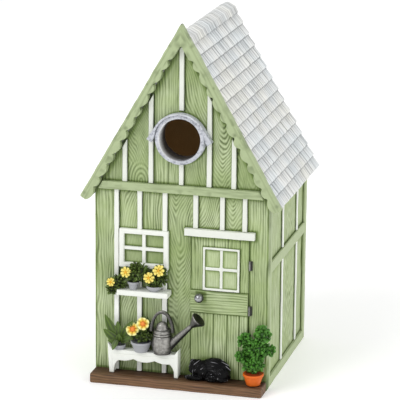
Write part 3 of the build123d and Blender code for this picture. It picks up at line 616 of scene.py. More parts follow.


# Painted light: how brightly the bare resin inside glows
INSIDE_LIGHT = 0.014
INSIDE_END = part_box("back_wall")[1].y - 0.5 * MM
# Tones of the marked darkening on the green walls and on the porch: real stains together with painted shade
GREEN_WASH_AND_SHADE = (0.42, 0.5, 0.26), (0.1, 0.13, 0.05)
BROWN_WASH_AND_SHADE = (0.5, 0.44, 0.4), (0.16, 0.12, 0.1)
# Colour of the painted shade deep in the entrance's bore
BORE_SHADE = 0.12, 0.1, 0.08
# White that painted light mixes in where trim stands in shade
PAINTED_LIGHT_WHITE = 0.96, 0.97, 0.94
WHITE_DIRT = 0.45, 0.47, 0.42
SIDE_WHITE_DIRT = 0.6, 0.62, 0.57
POT_DIRT = 0.25, 0.25, 0.27
CLAY_DIRT = 0.4, 0.25, 0.2
STEEL_DIRT = 0.4, 0.4, 0.41


def grained_paint(name, ridge, groove, along, inside=None, wash=GREEN_WASH_AND_SHADE):
    """Paint over carved grain: dark wash in the grooves, painted shade beside and under trim with real
    stains, and fine fibres along the board; bare inside faces glow faintly, a painted light.
    """
    paint = Paint(name, roughness=0.62)
    fibres = paint.noise(1500, 4, tuple(0.12 if axis == along else 1 for axis in range(3)))
    cloud = paint.noise(45, 3)
    middle = tuple((a + 1.4 * b) / 2.4 for a, b in zip(groove, ridge))
    base = paint.ramp(paint.attribute("grain"), (0.05, groove), (0.45, middle), (0.95, shade(ridge, 1.06)))
    patched = paint.mix(
        paint.ramp(cloud, (0.38, BLACK), (0.7, grey(0.5))), base, tinted(ridge, 0.72, 0.8, 0.5)
    )
    fibre_tone = paint.ramp(fibres, (0.3, grey(0.3)), (0.62, grey(0.72)))
    stained = paint.apply_shade_and_stain(paint.mix(0.45, patched, fibre_tone, "SOFT_LIGHT"), *wash)
    paint.colour(stained)
    if inside:
        bare = paint.bare_inside()
        paint.colour(paint.mix(bare, stained, inside))
        # Painted light: bare inside faces glow faintly in their own colour
        paint.join(paint.mix(bare, BLACK, inside), paint.shader.inputs["Emission Color"])
        paint.shader.inputs["Emission Strength"].default_value = INSIDE_LIGHT
    paint.bump(fibres, 0.12 * MM, 0.5)
    return paint.material


def trim_paint(name, tone, dirt, roughness=0.58, speck=0.5):
    """Brushed paint on carved trim: a little dirt in the hollows, wear on the edges, and painted light that
    whitens marked places that stand in shade.
    """
    paint = Paint(name, roughness)
    specks = paint.ramp(paint.noise(180, 4), (0.35, BLACK), (0.72, grey(speck)))
    base = paint.mix(specks, tone, shade(tone, 0.86))
    # Painted light: marked places are whitened against the shade they stand in
    base = paint.mix(paint.attribute("bright"), base, PAINTED_LIGHT_WHITE)
    worn = paint.ramp(paint.edges(), (0.44, dirt), (0.492, WHITE))
    hollowed = paint.mix(0.8, paint.apply_shade_and_stain(base, dirt), worn, "MULTIPLY")
    brushed = paint.ramp(paint.edges(), (0.51, BLACK), (0.57, grey(0.3)))
    paint.colour(paint.mix(brushed, hollowed, shade(tone, 1.25)))
    paint.bump(paint.noise(900, 3), 0.08 * MM, 0.5)
    return paint.material


def stone_paint(name, tone):
    """Rough painted stone with darker pits, and painted shade and painted light in the bore where it is
    marked.
    """
    paint = Paint(name, 0.7)
    grit = paint.noise(650, 5)
    base = paint.ramp(paint.noise(150, 3), (0.3, shade(tone, 0.78)), (0.7, shade(tone, 1.08)))
    pits = paint.ramp(grit, (0.36, (0.42, 0.43, 0.46)), (0.5, WHITE))
    worn = paint.ramp(paint.edges(), (0.42, (0.35, 0.35, 0.37)), (0.49, WHITE))
    rough = paint.mix(0.7, paint.mix(0.75, base, pits, "MULTIPLY"), worn, "MULTIPLY")
    # Painted shade and painted light in the bore, from its marks
    paint.colour(paint.apply_shade_and_stain(paint.mix(paint.attribute("bright"), rough, PAINTED_LIGHT_WHITE), BORE_SHADE))
    paint.bump(grit, 0.35 * MM, 0.8)
    return paint.material


def metal_paint(name, tone, dark, metallic=0.75, roughness=0.36, speck=0.5):
    """Metallic paint with blotches, painted shade on the sides that marks turn from the light with painted
    highlights where they face it, and a dark wash left in its hollows.
    """
    paint = Paint(name, roughness)
    blotch = paint.noise(620, 4)
    base = paint.mix(paint.ramp(blotch, (0.4, BLACK), (0.66, WHITE)), shade(tone, speck), tone)
    hollow = paint.ramp(paint.edges(), (0.40, dark), (0.50, WHITE))
    paint.colour(paint.mix(0.9, paint.apply_shade_and_stain(base, dark), hollow, "MULTIPLY"))
    paint.shader.inputs["Metallic"].default_value = metallic
    paint.bump(blotch, 0.1 * MM, 0.5)
    return paint.material


def leaf_paint(name, tone, dark):
    """Leaves that go from dark at their roots inside the clump, a painted shade, to light at their tips."""
    paint = Paint(name, roughness=0.5)
    vein = paint.noise(700, 2)
    middle, light = shade(tone, 0.6), shade(tone, 1.35)
    base = paint.ramp(paint.attribute("leaf"), (0.0, dark), (0.45, middle), (1.0, light))
    paint.colour(paint.mix(0.3, base, paint.ramp(vein, (0.3, dark), (0.7, shade(tone, 1.3))), "SOFT_LIGHT"))
    paint.bump(vein, 0.1 * MM, 0.4)
    return paint.material


def plain_paint(name, tone, roughness=0.75):
    """Cast resin with faint mottling."""
    paint = Paint(name, roughness)
    paint.colour(paint.ramp(paint.noise(140, 4), (0.3, shade(tone, 0.8)), (0.7, shade(tone, 1.08))))
    paint.bump(paint.noise(700, 3), 0.1 * MM, 0.5)
    return paint.material


def shingle_paint(name, tone, dark):
    """Whitewash over split shingles, some bluish and some warm, darker in the grooves and in the painted
    shadow under each course's butt.
    """
    paint = Paint(name, roughness=0.7)
    warm, cool = tinted(tone, 1.0, 0.99, 0.95), tinted(tone, 0.93, 0.965, 1.0)
    body = paint.ramp(paint.noise(28, 2), (0.36, cool), (0.5, tone), (0.64, warm))
    own = paint.ramp(paint.attribute("tint"), (0.0, (0.9, 0.91, 0.92)), (0.6, WHITE))
    groove = paint.ramp(paint.attribute("grain"), (0.35, dark), (0.85, WHITE))
    washed = paint.mix(0.85, paint.mix(0.8, body, own, "MULTIPLY"), groove, "MULTIPLY")
    streak = paint.noise(900, 3, (0.2, 1, 0.2))
    fine = paint.ramp(streak, (0.34, (0.25, 0.25, 0.26)), (0.58, grey(0.9)))
    paint.colour(paint.mix(0.3, washed, fine, "SOFT_LIGHT"))
    paint.bump(streak, 0.3 * MM, 0.5)
    return paint.material


def petal_paint(name, eye, root, tip, halo):
    """Petals that pale towards their tips, round an eye whose colour runs out over a halo."""
    paint = Paint(name, roughness=0.5)
    base = paint.ramp(paint.attribute("petal"), (0.0, eye), (halo, eye), (halo + 0.2, root), (0.9, tip))
    fine = paint.noise(1200, 2)
    paint.colour(paint.mix(0.2, base, paint.ramp(fine, (0.3, grey(0.4)), (0.7, grey(0.8))), "SOFT_LIGHT"))
    paint.bump(fine, 0.08 * MM, 0.5)
    return paint.material


def cat_paint(name, tone, shine):
    """Black fur with grey painted glints along its ridges, in place of reflections."""
    paint = Paint(name, roughness=0.24)
    paint.colour(paint.ramp(paint.attribute("fur"), (0.82, tone), (1.0, shine)))
    paint.shader.inputs["Specular IOR Level"].default_value = 0.12
    paint.bump(paint.noise(1400, 3), 0.1 * MM, 0.5)
    return paint.material


def swatch(name, share=1.0):
    """A paint's colour, or a darker shade of it."""
    return shade(getattr(paints(), name), share)


FINISHES = {
    "wall": lambda: grained_paint("wall_green", swatch("wall"), swatch("wall_groove"), 2, swatch("inside")),
    "rail": lambda: grained_paint("rail_green", swatch("wall"), swatch("wall_groove"), 0),
    "porch": lambda: grained_paint(
        "porch_brown", swatch("porch"), swatch("porch_groove"), 0, wash=BROWN_WASH_AND_SHADE
    ),
    "trim": lambda: trim_paint("trim_green", swatch("trim"), swatch("trim", 0.5)),
    "side_trim": lambda: trim_paint("side_green", swatch("side_trim"), swatch("side_trim", 0.5)),
    "white": lambda: trim_paint("trim_white", swatch("white"), WHITE_DIRT, speck=0.3),
    "side_white": lambda: trim_paint("side_white", swatch("side_white"), SIDE_WHITE_DIRT, speck=0.2),
    "ring": lambda: stone_paint("ring_grey", swatch("ring")),
    "pot": lambda: trim_paint("pot_grey", swatch("pot"), POT_DIRT),
    "clay": lambda: trim_paint("clay_orange", swatch("clay"), CLAY_DIRT),
    "foliage": lambda: leaf_paint("foliage_green", swatch("leaf"), swatch("leaf_dark")),
    "hosta": lambda: leaf_paint("hosta_green", swatch("hosta"), swatch("hosta", 0.16)),
    "shrub": lambda: leaf_paint("shrub_green", swatch("shrub"), swatch("shrub_dark")),
    "shelf_petal": lambda: petal_paint(
        "petal_gold", swatch("eye"), swatch("petal_root"), swatch("petal"), 0.2
    ),
    "bench_petal": lambda: petal_paint(
        "petal_pale", swatch("eye_orange"), swatch("petal_root"), swatch("petal_pale"), 0.44
    ),
    "pewter": lambda: metal_paint("pewter", swatch("pewter"), swatch("pewter_dark"), speck=0.62),
    "knob": lambda: metal_paint("knob_silver", swatch("knob"), swatch("pewter_dark"), 0.9, 0.25),
    "iron": lambda: metal_paint("hinge_iron", swatch("iron"), swatch("pewter_dark"), 0.6, 0.45),
    "steel": lambda: metal_paint("steel", swatch("steel"), STEEL_DIRT, 1.0, 0.34, 0.88),
    "inside": lambda: plain_paint("bare_resin", swatch("inside")),
    "roof_board": lambda: plain_paint("roof_board_grey", swatch("roof_board")),
    "shingle": lambda: shingle_paint("shingle_white", swatch("shingle"), swatch("shingle_groove")),
    "cat": lambda: cat_paint("cat_black", swatch("cat"), swatch("cat_shine")),
}
finishes = {}


def finish(name):
    """A material, made the first time it is asked for."""
    if name not in finishes:
        finishes[name] = FINISHES[name]()
    return finishes[name]


# Walls

GABLE_STRIPS = [
    # right edge, then how the grain leans, whether it is folded into a V, and how it swirls
    (-39.0, 0.0, False, 0.0),
    (-20.9, 0.55, False, 5.0),
    (0.0, 0.0, False, 0.4),
    (19.2, 0.42, False, 5.0),
    (36.0, -0.5, True, 3.6),
    (61.0, -0.4, True, 3.0),
]
LOWER_STRIPS = [
    (-44.7, 0.0, False, 1.2),
    (-28.6, -0.25, False, 3.0),
    (-11.0, 0.0, False, 0.8),
    (7.0, -0.4, True, 5.2),
    (28.4, -0.4, False, 4.0),
    (43.8, -0.5, True, 3.2),
    (61.0, 0.0, False, 1.2),
]
SIDE_STRIPS = [(-5.2, 0.0, False, 1.2), (39.8, -0.34, True, 3.0), (200.0, 0.0, False, 1.2)]
BEAM_LINE = 136.5 * MM
SIDE_GRAIN = 2.9 * MM
# Middle, foot and top of the arched figure in the gable
ARCH = -28.0 * MM, 140.0 * MM, 155.0 * MM


def strip_grain(across, along, strips, seed, spacing=None):
    """Grain of a wall whose strips between the battens are carved in different ways."""
    height = np.ones_like(across)
    left = -np.inf
    for index, (right, slant, folded, swirl) in enumerate(strips):
        inside = (across >= left) & (across < right * MM)
        if inside.any():
            height[inside] = carved_grain(
                across[inside], along[inside], seed + 11 * index, slant, folded, swirl * MM, spacing
            )
        left = right * MM
    return height


def arched_grain(across, along, height):
    """Height of the gable's grain, with an arched figure at the foot of its second strip."""
    middle, foot, top = ARCH
    reach = np.hypot(across - middle, 0.55 * np.maximum(along - foot, 0))
    ridge = 0.5 + 0.5 * np.cos(2 * math.pi * (reach / settings().grain))
    share = unit((top - along) / (5 * MM))
    left, right = (strip[0] * MM for strip in GABLE_STRIPS[:2])
    strip = (across > left) & (across < right) & (along > foot - 4 * MM)
    return np.where(strip, height * (1 - share) + (1 - 0.8 * (1 - ridge)) * share, height)


def slope_rise(across, up):
    """Height above the roof's underside, square to its slope, of points on the front."""
    return (up - APEX) * math.cos(PITCH) + np.abs(across) * math.sin(PITCH)


def loose_boxes(*nodes):
    """Corners of the boxes round the separate solids of CAD nodes."""
    boxes = []
    for node in nodes:
        for part in loose_parts(copy_of(node, "measured")):
            corners = np.array(part.bound_box)
            boxes.append((corners.min(axis=0), corners.max(axis=0)))
            bpy.data.objects.remove(part)
    return boxes


def frame_boxes(node, bar):
    """Boxes of the four sides of a frame whose bars have this width."""
    low, high = (np.array(corner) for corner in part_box(node))
    across, up = np.array((bar, 0, 0)), np.array((0, 0, bar))
    return [
        (low, high * (0, 1, 1) + (low + across) * (1, 0, 0)),
        (low * (0, 1, 1) + (high - across) * (1, 0, 0), high),
        (low, high * (1, 1, 0) + (low + up) * (0, 0, 1)),
        (low * (1, 1, 0) + (high - up) * (0, 0, 1), high),
    ]


def cross_boxes(node, bar):
    """Boxes of the two bars of a cross."""
    low, high = (np.array(corner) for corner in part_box(node))
    middle, half = (low + high) / 2, bar / 2
    boxes = []
    for axis in (0, 2):
        near, far = low.copy(), high.copy()
        near[axis], far[axis] = middle[axis] - half, middle[axis] + half
        boxes.append((near, far))
    return boxes


# Grain behind the panes of the window and of the door's light: its level and how strong it is
PANE_LEVEL = 0.74
PANE_GRAIN = 0.22


def within(places, node):
    """Points whose place on the front lies behind a CAD node's box."""
    low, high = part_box(node)
    level = (places[:, 0] > low.x) & (places[:, 0] < high.x)
    return level & (places[:, 2] > low.z) & (places[:, 2] < high.z)


def dark_beside(across, along, boxes, reach, strength):
    """Share of painted shade beside boxes on a front, deeper on their right and under them, where their
    shadows fall.
    """
    dark = np.zeros_like(across)
    for low, high in boxes:
        aside = np.maximum(low[0] - across, 0) * 1.7 + np.maximum(across - high[0], 0)
        above = np.maximum(along - high[2], 0) * 1.5 + np.maximum(low[2] - along, 0) * 0.8
        dark = np.maximum(dark, strength * bell(np.hypot(aside, above), reach))
    return dark


# Strength and fade of the painted shadow round the cat and the clay pot
CONTACT_DEPTH = 0.5
CONTACT_FADE = math.sqrt(0.05)


def contact_shade(across, along):
    """Painted shadow on the front round the things that stand against it."""
    dark = np.zeros_like(across)
    for low, high in (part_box("sleeping_cat"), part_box("terracotta_pot")):
        aside = (across - (low.x + high.x) / 2) / (0.5 * (high.x - low.x))
        reach = np.hypot(aside, (along - low.z) / (0.78 * (high.z - low.z)))
        dark = np.maximum(dark, CONTACT_DEPTH * bell(np.maximum(reach - 1, 0), CONTACT_FADE))
    return dark


# Meshes of the grained walls: their rows against their columns, and the sides' step against the front's
FRONT_ROWS, SIDE_ROWS, SIDE_STEP = 1.45, 1.35, 1.25
HOLE_CUT = 16.2 * MM
WINDOW_BAR, WINDOW_CROSS = 3.1 * MM, 2.6 * MM
# Reach and strength of the painted shade on the walls, beside each kind of trim
BATTEN_EDGE, BATTEN_HAZE = (1.0 * MM, 1.0), (2.2 * MM, 0.35)
PLATE_EDGE, DOOR_EDGE, PANE_EDGE = (1.8 * MM, 0.7), (1.2 * MM, 0.95), (1.5 * MM, 0.7)
SIDE_EDGE, SIDE_HAZE = (1.0 * MM, 0.75), (4.5 * MM, 0.28)


class BIRDHOUSE_OT_front_wall(bpy.types.Operator):
    """Front wall with its gable, carved in strips of different grain"""

    bl_idname = "birdhouse.front_wall"
    bl_label = "Front wall"

    def execute(self, context):
        wall = grained_sheet("front_wall_carved", 2 * HALF_WIDTH, APEX, settings().board_step, FRONT_ROWS)
        places = points_of(wall)
        places[:, 0] -= HALF_WIDTH
        places[:, 1] = FRONT
        move_points(wall, places)
        edit_all(wall)
        for sign in (-1, 1):
            bpy.ops.mesh.select_all(action="SELECT")
            bpy.ops.mesh.bisect(
                plane_co=(0, FRONT, APEX),
                plane_no=(sign * math.sin(PITCH), 0, math.cos(PITCH)),
                clear_outer=True,
            )
        bpy.ops.mesh.select_all(action="DESELECT")
        leave_edit()
        for face in wall.data.polygons:
            face.select = (face.center - HOLE).length < HOLE_CUT
        bpy.ops.object.mode_set(mode="EDIT")
        bpy.ops.mesh.select_mode(type="FACE")
        bpy.ops.mesh.delete(type="FACE")
        bpy.ops.mesh.select_mode(type="VERT")
        leave_edit()
        places = points_of(wall)
        upper = places[:, 2] > BEAM_LINE
        height = np.ones(len(places))
        for part, strips, seed in ((upper, GABLE_STRIPS, 3), (~upper, LOWER_STRIPS, 71)):
            height[part] = strip_grain(places[part, 0], places[part, 2], strips, seed)
        height = np.where(upper, arched_grain(places[:, 0], places[:, 2], height), height)
        height = np.where(within(places, "window_frame"), PANE_LEVEL + PANE_GRAIN * (height - 1), height)
        places[:, 1] += (1 - height) * settings().grain_depth
        move_points(wall, places)
        mark(wall, "grain", height)
        # Painted shade and painted shadows, with real stains
        mark(wall, "wash", self.wash(places[:, 0], places[:, 2]))
        close_back(wall, FRONT_INSIDE)
        hand_over(wall, finish("wall"), "wall_green", "front_wall")
        return {"FINISHED"}

    def wash(self, across, along):
        """Painted shade beside the trim, under the bargeboards and round the entrance, painted shadow round
        the cat and the pot, a dark line near the corners and real stains.
        """
        bars = loose_boxes("gable_battens", "lower_battens")
        plates = [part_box(node) for node in ("cross_beam", "door_lintel", "flower_shelf", "porch_step")]
        panes = frame_boxes("window_frame", WINDOW_BAR) + cross_boxes("window_bars", WINDOW_CROSS)
        beside = [
            dark_beside(across, along, boxes, *edge)
            for boxes, edge in (
                (bars, BATTEN_EDGE), (bars, BATTEN_HAZE), (plates, PLATE_EDGE),
                ([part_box("door_boards")], DOOR_EDGE), (panes, PANE_EDGE),
            )
        ]
        corner = 0.85 * bell(HALF_WIDTH - np.abs(across) - 0.6 * MM, 0.32 * MM)
        # Painted shade under the bargeboards
        eaves = unit((slope_rise(across, along) + 6.5 * MM) / (5 * MM)) ** 1.5 * 0.75
        # Painted shadow round the entrance ring
        ring = np.hypot(across - HOLE.x, along - HOLE.z) - 17 * MM
        halo = 0.8 * bell(np.maximum(ring, 0), 1.4 * MM)
        stains = 0.16 * (1 + patches(across, along, 14, 20, 95))
        return unit(deepest(*beside, corner, eaves, halo, stains, contact_shade(across, along)))


SIDE_CONTRAST = 0.92
# Painted shade laid evenly over the whole side wall
SIDE_SHADE = 0.1


class BIRDHOUSE_OT_side_walls(bpy.types.Operator):
    """Side walls, carved in strips between the battens"""

    bl_idname = "birdhouse.side_walls"
    bl_label = "Side walls"

    def execute(self, context):
        tall = APEX - PANEL_OUTSIDE * math.tan(PITCH)
        step = SIDE_STEP * settings().board_step
        for side, sign, seed in (("left", -1, 201), ("right", 1, 301)):
            low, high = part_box(f"{side}_side_panel")
            depth = high.y - low.y
            panel = grained_sheet(f"{side}_side_carved", depth, tall, step, SIDE_ROWS)
            places = points_of(panel)
            row_y = self.along_house(places, low.y, depth, sign)
            height = strip_grain(row_y, places[:, 2], SIDE_STRIPS, seed, SIDE_GRAIN)
            places[:, 1] += (1 - height) * settings().grain_depth
            move_points(panel, places)
            mark(panel, "grain", 1 - SIDE_CONTRAST * (1 - height))
            # Painted shade beside the frames and under the roof
            mark(panel, "wash", self.wash(side, row_y, places[:, 2]))
            close_back(panel, high.x - low.x)
            places = points_of(panel)
            row_x = sign * PANEL_OUTSIDE - sign * places[:, 1]
            turned = np.column_stack((row_x, self.along_house(places, low.y, depth, sign), places[:, 2]))
            top = places[:, 2] > tall - 0.01 * MM
            turned[top, 2] = APEX - np.abs(turned[top, 0]) * math.tan(PITCH)
            move_points(panel, turned)
            hand_over(panel, finish("wall"), "wall_green", f"{side}_side_panel")
        return {"FINISHED"}

    def along_house(self, places, start, depth, sign):
        """Places from front to back of a sheet that is seen from its side of the house."""
        return start + (places[:, 0] if sign > 0 else depth - places[:, 0])

    def wash(self, side, along_y, up):
        """Painted shade beside the side's battens, posts and rails and under the roof, over an even painted
        shade.
        """
        frames = loose_boxes(*(f"{side}_side_{part}" for part in ("battens", "posts", "rails")))
        turned = [((low[1], 0, low[2]), (high[1], 0, high[2])) for low, high in frames]
        beside = [dark_beside(along_y, up, turned, *edge) for edge in (SIDE_EDGE, SIDE_HAZE)]
        eaves = unit((up - 126 * MM) / (9 * MM)) * 0.7
        return np.where(along_y > ROOF_BACK - 2.6 * MM, 0.15, deepest(*beside, eaves, SIDE_SHADE))


class BIRDHOUSE_OT_back_wall(bpy.types.Operator):
    """Back wall and its clean-out hatch"""

    bl_idname = "birdhouse.back_wall"
    bl_label = "Back wall and hatch"

    def execute(self, context):
        for node, body, step, soften, seed, share, grain in (
            ("back_wall", HOUSE, 0.8 * MM, 1, 401, 1.2, {"spacing": 2.6 * MM}),
            ("rear_hatch", "hatch", 0.55 * MM, 2, 431, 1.0, {"swirl": 3 * MM}),
        ):
            piece = remeshed(copy_of(node, f"{node}_carved"), step, soften)
            engrave(piece, (0, 1, 0), 0, 2, seed, share, **grain)
            mark_inside(piece, lambda face: face.normal.y < -0.3)
            hand_over(piece, finish("wall"), "wall_green", node, body=body)
        return {"FINISHED"}


SIDE_BATTEN_SUNK = -0.2 * MM
SIDE_BATTEN_THICKNESS = 0.75


class BIRDHOUSE_OT_side_frames(bpy.types.Operator):
    """Green posts and rails and white battens on both sides"""

    bl_idname = "birdhouse.side_frames"
    bl_label = "Side frames"

    def execute(self, context):
        for side, seed in (("left", 501), ("right", 551)):
            for part in ("posts", "rails"):
                piece = carved(f"{side}_side_{part}", f"{side}_{part}_carved", seed, step=0.5 * MM)
                hand_over(piece, finish("side_trim"), "trim_green", f"{side}_side_{part}")
            node = f"{side}_side_battens"
            battens = carved(node, f"{side}_battens_carved", seed + 7, proud=SIDE_BATTEN_SUNK)
            places = points_of(battens)
            plane = math.copysign(PANEL_OUTSIDE, places[0, 0])
            places[:, 0] = plane + SIDE_BATTEN_THICKNESS * (places[:, 0] - plane)
            move_points(battens, places)
            # Painted light over the whole of the side battens
            mark(battens, "bright", np.ones(len(places)))
            hand_over(battens, finish("side_white"), "trim_white", node)
        return {"FINISHED"}


PORCH_GROOVE = 0.35


class BIRDHOUSE_OT_porch(bpy.types.Operator):
    """Porch plank with streaked grain"""

    bl_idname = "birdhouse.porch"
    bl_label = "Porch"

    def execute(self, context):
        plank = uneven(remeshed(copy_of("porch_step", "porch_plank"), 0.5 * MM, 3), 0.4 * MM, 9 * MM, 601)
        places, normals = points_of(plank), normals_of(plank)
        grain = {"swirl": 1.6 * MM, "spacing": 1.9 * MM}
        height = carved_grain(places[:, 2] + places[:, 1] * 0.8, places[:, 0], 611, **grain)
        weight = unit(np.maximum(normals[:, 2], -normals[:, 1]))
        move_points(plank, places - normals * ((1 - height) * weight * PORCH_GROOVE * MM)[:, None])
        mark(plank, "grain", height)
        # Painted shade: the plank's top is darker, most of all towards the wall
        depth = unit((places[:, 1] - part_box("porch_step")[0].y) / (9 * MM))
        mark(plank, "wash", unit(normals[:, 2]) * (0.1 + 0.55 * depth))
        hand_over(plank, finish("porch"), "porch_brown", "porch_step")
        return {"FINISHED"}


# Trim

RIM_WIDTH = 1.9 * MM
RIM_BEVEL = 0.9 * MM
APEX_BLUNT = 1.6 * MM
APEX_KEPT = 0.2
SEAM_OVERLAP = 0.4 * MM


class BIRDHOUSE_OT_gable_trim(bpy.types.Operator):
    """Scalloped bargeboards and the beam under the gable"""

    bl_idname = "birdhouse.gable_trim"
    bl_label = "Bargeboards and beam"

    def execute(self, context):
        boards = [copy_of(f"{side}_bargeboard", f"{side}_bargeboard_copy") for side in ("left", "right")]
        places = points_of(boards[0])
        places[np.abs(places[:, 0]) < 0.01 * MM, 0] += SEAM_OVERLAP
        move_points(boards[0], places)
        both = uneven(remeshed(join(boards, "bargeboards"), 0.42 * MM, 2), 0.6 * MM, 4.5 * MM, 701)
        places = points_of(both)
        blunt = places[:, 2].max() - APEX_BLUNT
        above = np.maximum(places[:, 2] - blunt, 0)
        places[:, 2] -= (1 - APEX_KEPT) * above
        rise = slope_rise(places[:, 0], places[:, 2])
        along = np.abs(places[:, 0]) * math.cos(PITCH) - (places[:, 2] - APEX) * math.sin(PITCH)
        back, rim = places[:, 1].max(), rise.max() - RIM_WIDTH
        share = unit((rise - rim) / RIM_WIDTH)
        places[:, 1] = back + (places[:, 1] - back) * (1 - share * RIM_BEVEL / (back - places[:, 1].min()))
        move_points(both, places)
        streaks = unit(patches(rise, along, 1.1, 9, 707) * 1.3 - 0.25) * 0.6
        blots = unit(patches(along, rise, 3.4, 2.2, 711) * 1.3 - 0.3) * 0.55
        mark(both, "wash", deepest(streaks, blots, 0.32 * bell(rise - rim, 0.4 * MM)))
        for side, sign in (("left", -1), ("right", 1)):
            half = linked(f"{side}_bargeboard_carved", both.data.copy())
            edit_all(half)
            bpy.ops.mesh.bisect(
                plane_co=(0, 0, 0), plane_no=(-sign, 0, 0), use_fill=True, clear_outer=True, threshold=1e-7
            )
            leave_edit()
            hand_over(half, finish("trim"), "trim_green", f"{side}_bargeboard")
        bpy.data.objects.remove(both)
        beam = carved("cross_beam", "cross_beam_carved", 721, step=0.42 * MM, soften=3)
        places = points_of(beam)
        streaks = patches(places[:, 2], places[:, 0], 1.0, 14, 727)
        blots = patches(places[:, 2], places[:, 0], 2.2, 3.4, 731)
        mark(beam, "wash", unit(np.maximum(streaks * 1.4 - 0.25, blots * 1.3 - 0.3)) * 0.35)
        hand_over(beam, finish("trim"), "trim_green", "cross_beam")
        return {"FINISHED"}


BRACKET_REACH = 7.0 * MM
BRACKET_DROP = 8.5 * MM
LEG_WIDTH = 1.1 * MM


def bracketed_apron():
    """Bench apron with an arched bracket that runs down the inside of each leg."""
    low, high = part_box("bench_apron")
    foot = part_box("bench_ends")[0].z
    pieces = [copy_of("bench_apron", "bench_apron_carved")]
    ends = sorted(loose_boxes("bench_ends"), key=lambda box: box[0][0])
    for inner, sign in ((ends[0][1][0], 1), (ends[1][0][0], -1)):
        outline = [(-0.3 * MM, foot), (LEG_WIDTH, foot)]
        for step in range(7):
            turn = math.pi / 2 * step / 6
            reach, drop = BRACKET_REACH * (1 - math.cos(turn)), BRACKET_DROP * (1 - math.sin(turn))
            outline.append((LEG_WIDTH + reach, low.z + 1.5 * MM - drop))
        outline += [(LEG_WIDTH + BRACKET_REACH, high.z - 0.4 * MM), (-0.3 * MM, high.z - 0.4 * MM)]
        places = [(inner + sign * x, y, z) for y in (low.y + 0.1 * MM, high.y) for x, z in outline]
        faces = []
        loft(faces, 0, len(outline), 1)
        bracket = mesh_piece("bracket", places, faces, smooth=False)
        face_outwards(bracket)
        pieces.append(bracket)
    return join(pieces, "bench_apron_carved")


# How far in the bench's worn ends reach, and how much they draw in and sink
WORN_REACH = 8 * MM
LEFT_FOOT_IN, RIGHT_END_IN, RIGHT_ARM_DOWN = 1.3 * MM, 1.7 * MM, 1.6 * MM


def worn_bench(places):
    """Bench ends with a lower, rounder arm on the right and a left foot set in a little."""
    low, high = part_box("bench_ends")
    right = unit((places[:, 0] - high.x + WORN_REACH) / WORN_REACH)
    left = unit((low.x + WORN_REACH - places[:, 0]) / WORN_REACH)
    up = (places[:, 2] - low.z) / (high.z - low.z)
    worn = places.copy()
    worn[:, 0] += LEFT_FOOT_IN * left * (1 - up) - RIGHT_END_IN * right
    worn[:, 2] -= RIGHT_ARM_DOWN * right * unit(2.4 * up - 1.4)
    return worn


# Painted light on the white trim is strongest below this height, and fades to its least share over a short
# way up
BRIGHT_TOP, BRIGHT_FADE, BRIGHT_LEAST = 75 * MM, 10 * MM, 0.3
# Painted light on the bench, which stands in shade
BENCH_BRIGHT = 0.4


class BIRDHOUSE_OT_white_trim(bpy.types.Operator):
    """Battens, window, door light, lintel, shelf and bench in white"""

    bl_idname = "birdhouse.white_trim"
    bl_label = "White trim"

    nodes = [
        "gable_battens", "lower_battens", "window_frame", "window_bars", "door_window_frame",
        "door_window_bars", "door_lintel", "flower_shelf", "bench_seat", "bench_ends", "bench_apron",
    ]
    # how far, in millimetres, a piece is swollen against the wear, if not by the usual amount
    usual_proud = 0.28
    proud = {
        "gable_battens": 0.08, "lower_battens": 0.08, "door_lintel": -0.1, "window_bars": 0.0,
        "door_window_frame": 0.05, "door_window_bars": 0.02,
    }
    # Painted light: how far each piece is whitened on the house's left half, where it stands in shade
    bright = {
        "lower_battens": 0.75, "window_frame": 1.0, "window_bars": 1.0, "flower_shelf": 0.3,
        "bench_seat": BENCH_BRIGHT, "bench_ends": BENCH_BRIGHT,
    }

    def execute(self, context):
        sizes = settings()
        for index, node in enumerate(self.nodes):
            if node == "bench_apron":
                apron = remeshed(bracketed_apron(), sizes.fine_step)
                piece = uneven(apron, sizes.wobble, sizes.wobble_size, 941, 0.2 * MM)
                # Painted light over the bench apron
                mark(piece, "bright", np.full(len(piece.data.vertices), BENCH_BRIGHT))
            else:
                proud = self.proud.get(node, self.usual_proud) * MM
                piece = carved(node, f"{node}_carved", 801 + 13 * index, proud=proud)
                places = points_of(piece)
                if node == "bench_ends":
                    places = worn_bench(places)
                    move_points(piece, places)
                # Painted light on the left half of each piece, strongest low down
                level = BRIGHT_LEAST + (1 - BRIGHT_LEAST) * unit((BRIGHT_TOP - places[:, 2]) / BRIGHT_FADE)
                mark(piece, "bright", self.bright.get(node, 0.0) * (places[:, 0] < 1 * MM) * level)
            hand_over(piece, finish("white"), "trim_white", node)
        return {"FINISHED"}


DOOR_STEP = 0.33 * MM
LIGHT_BAR = 1.6 * MM
# Reach and strength of the painted shade on the door, beside its window, rail and lintel and round the knob
LIGHT_EDGE, RAIL_EDGE, LINTEL_SHADE = (1.2 * MM, 0.62), (0.7 * MM, 0.75), (2.5 * MM, 0.6)
PANE_SHADE, KNOB_SHADE = (1.3 * MM, 0.6), (1.6 * MM, 0.6)
# Direction of the light for the knob's painted highlight and painted shade
KNOB_SHINE = np.array((-0.36, -0.86, 0.36))
KNOB_SWELL = 0.4
HINGE_WIDTH = 0.8


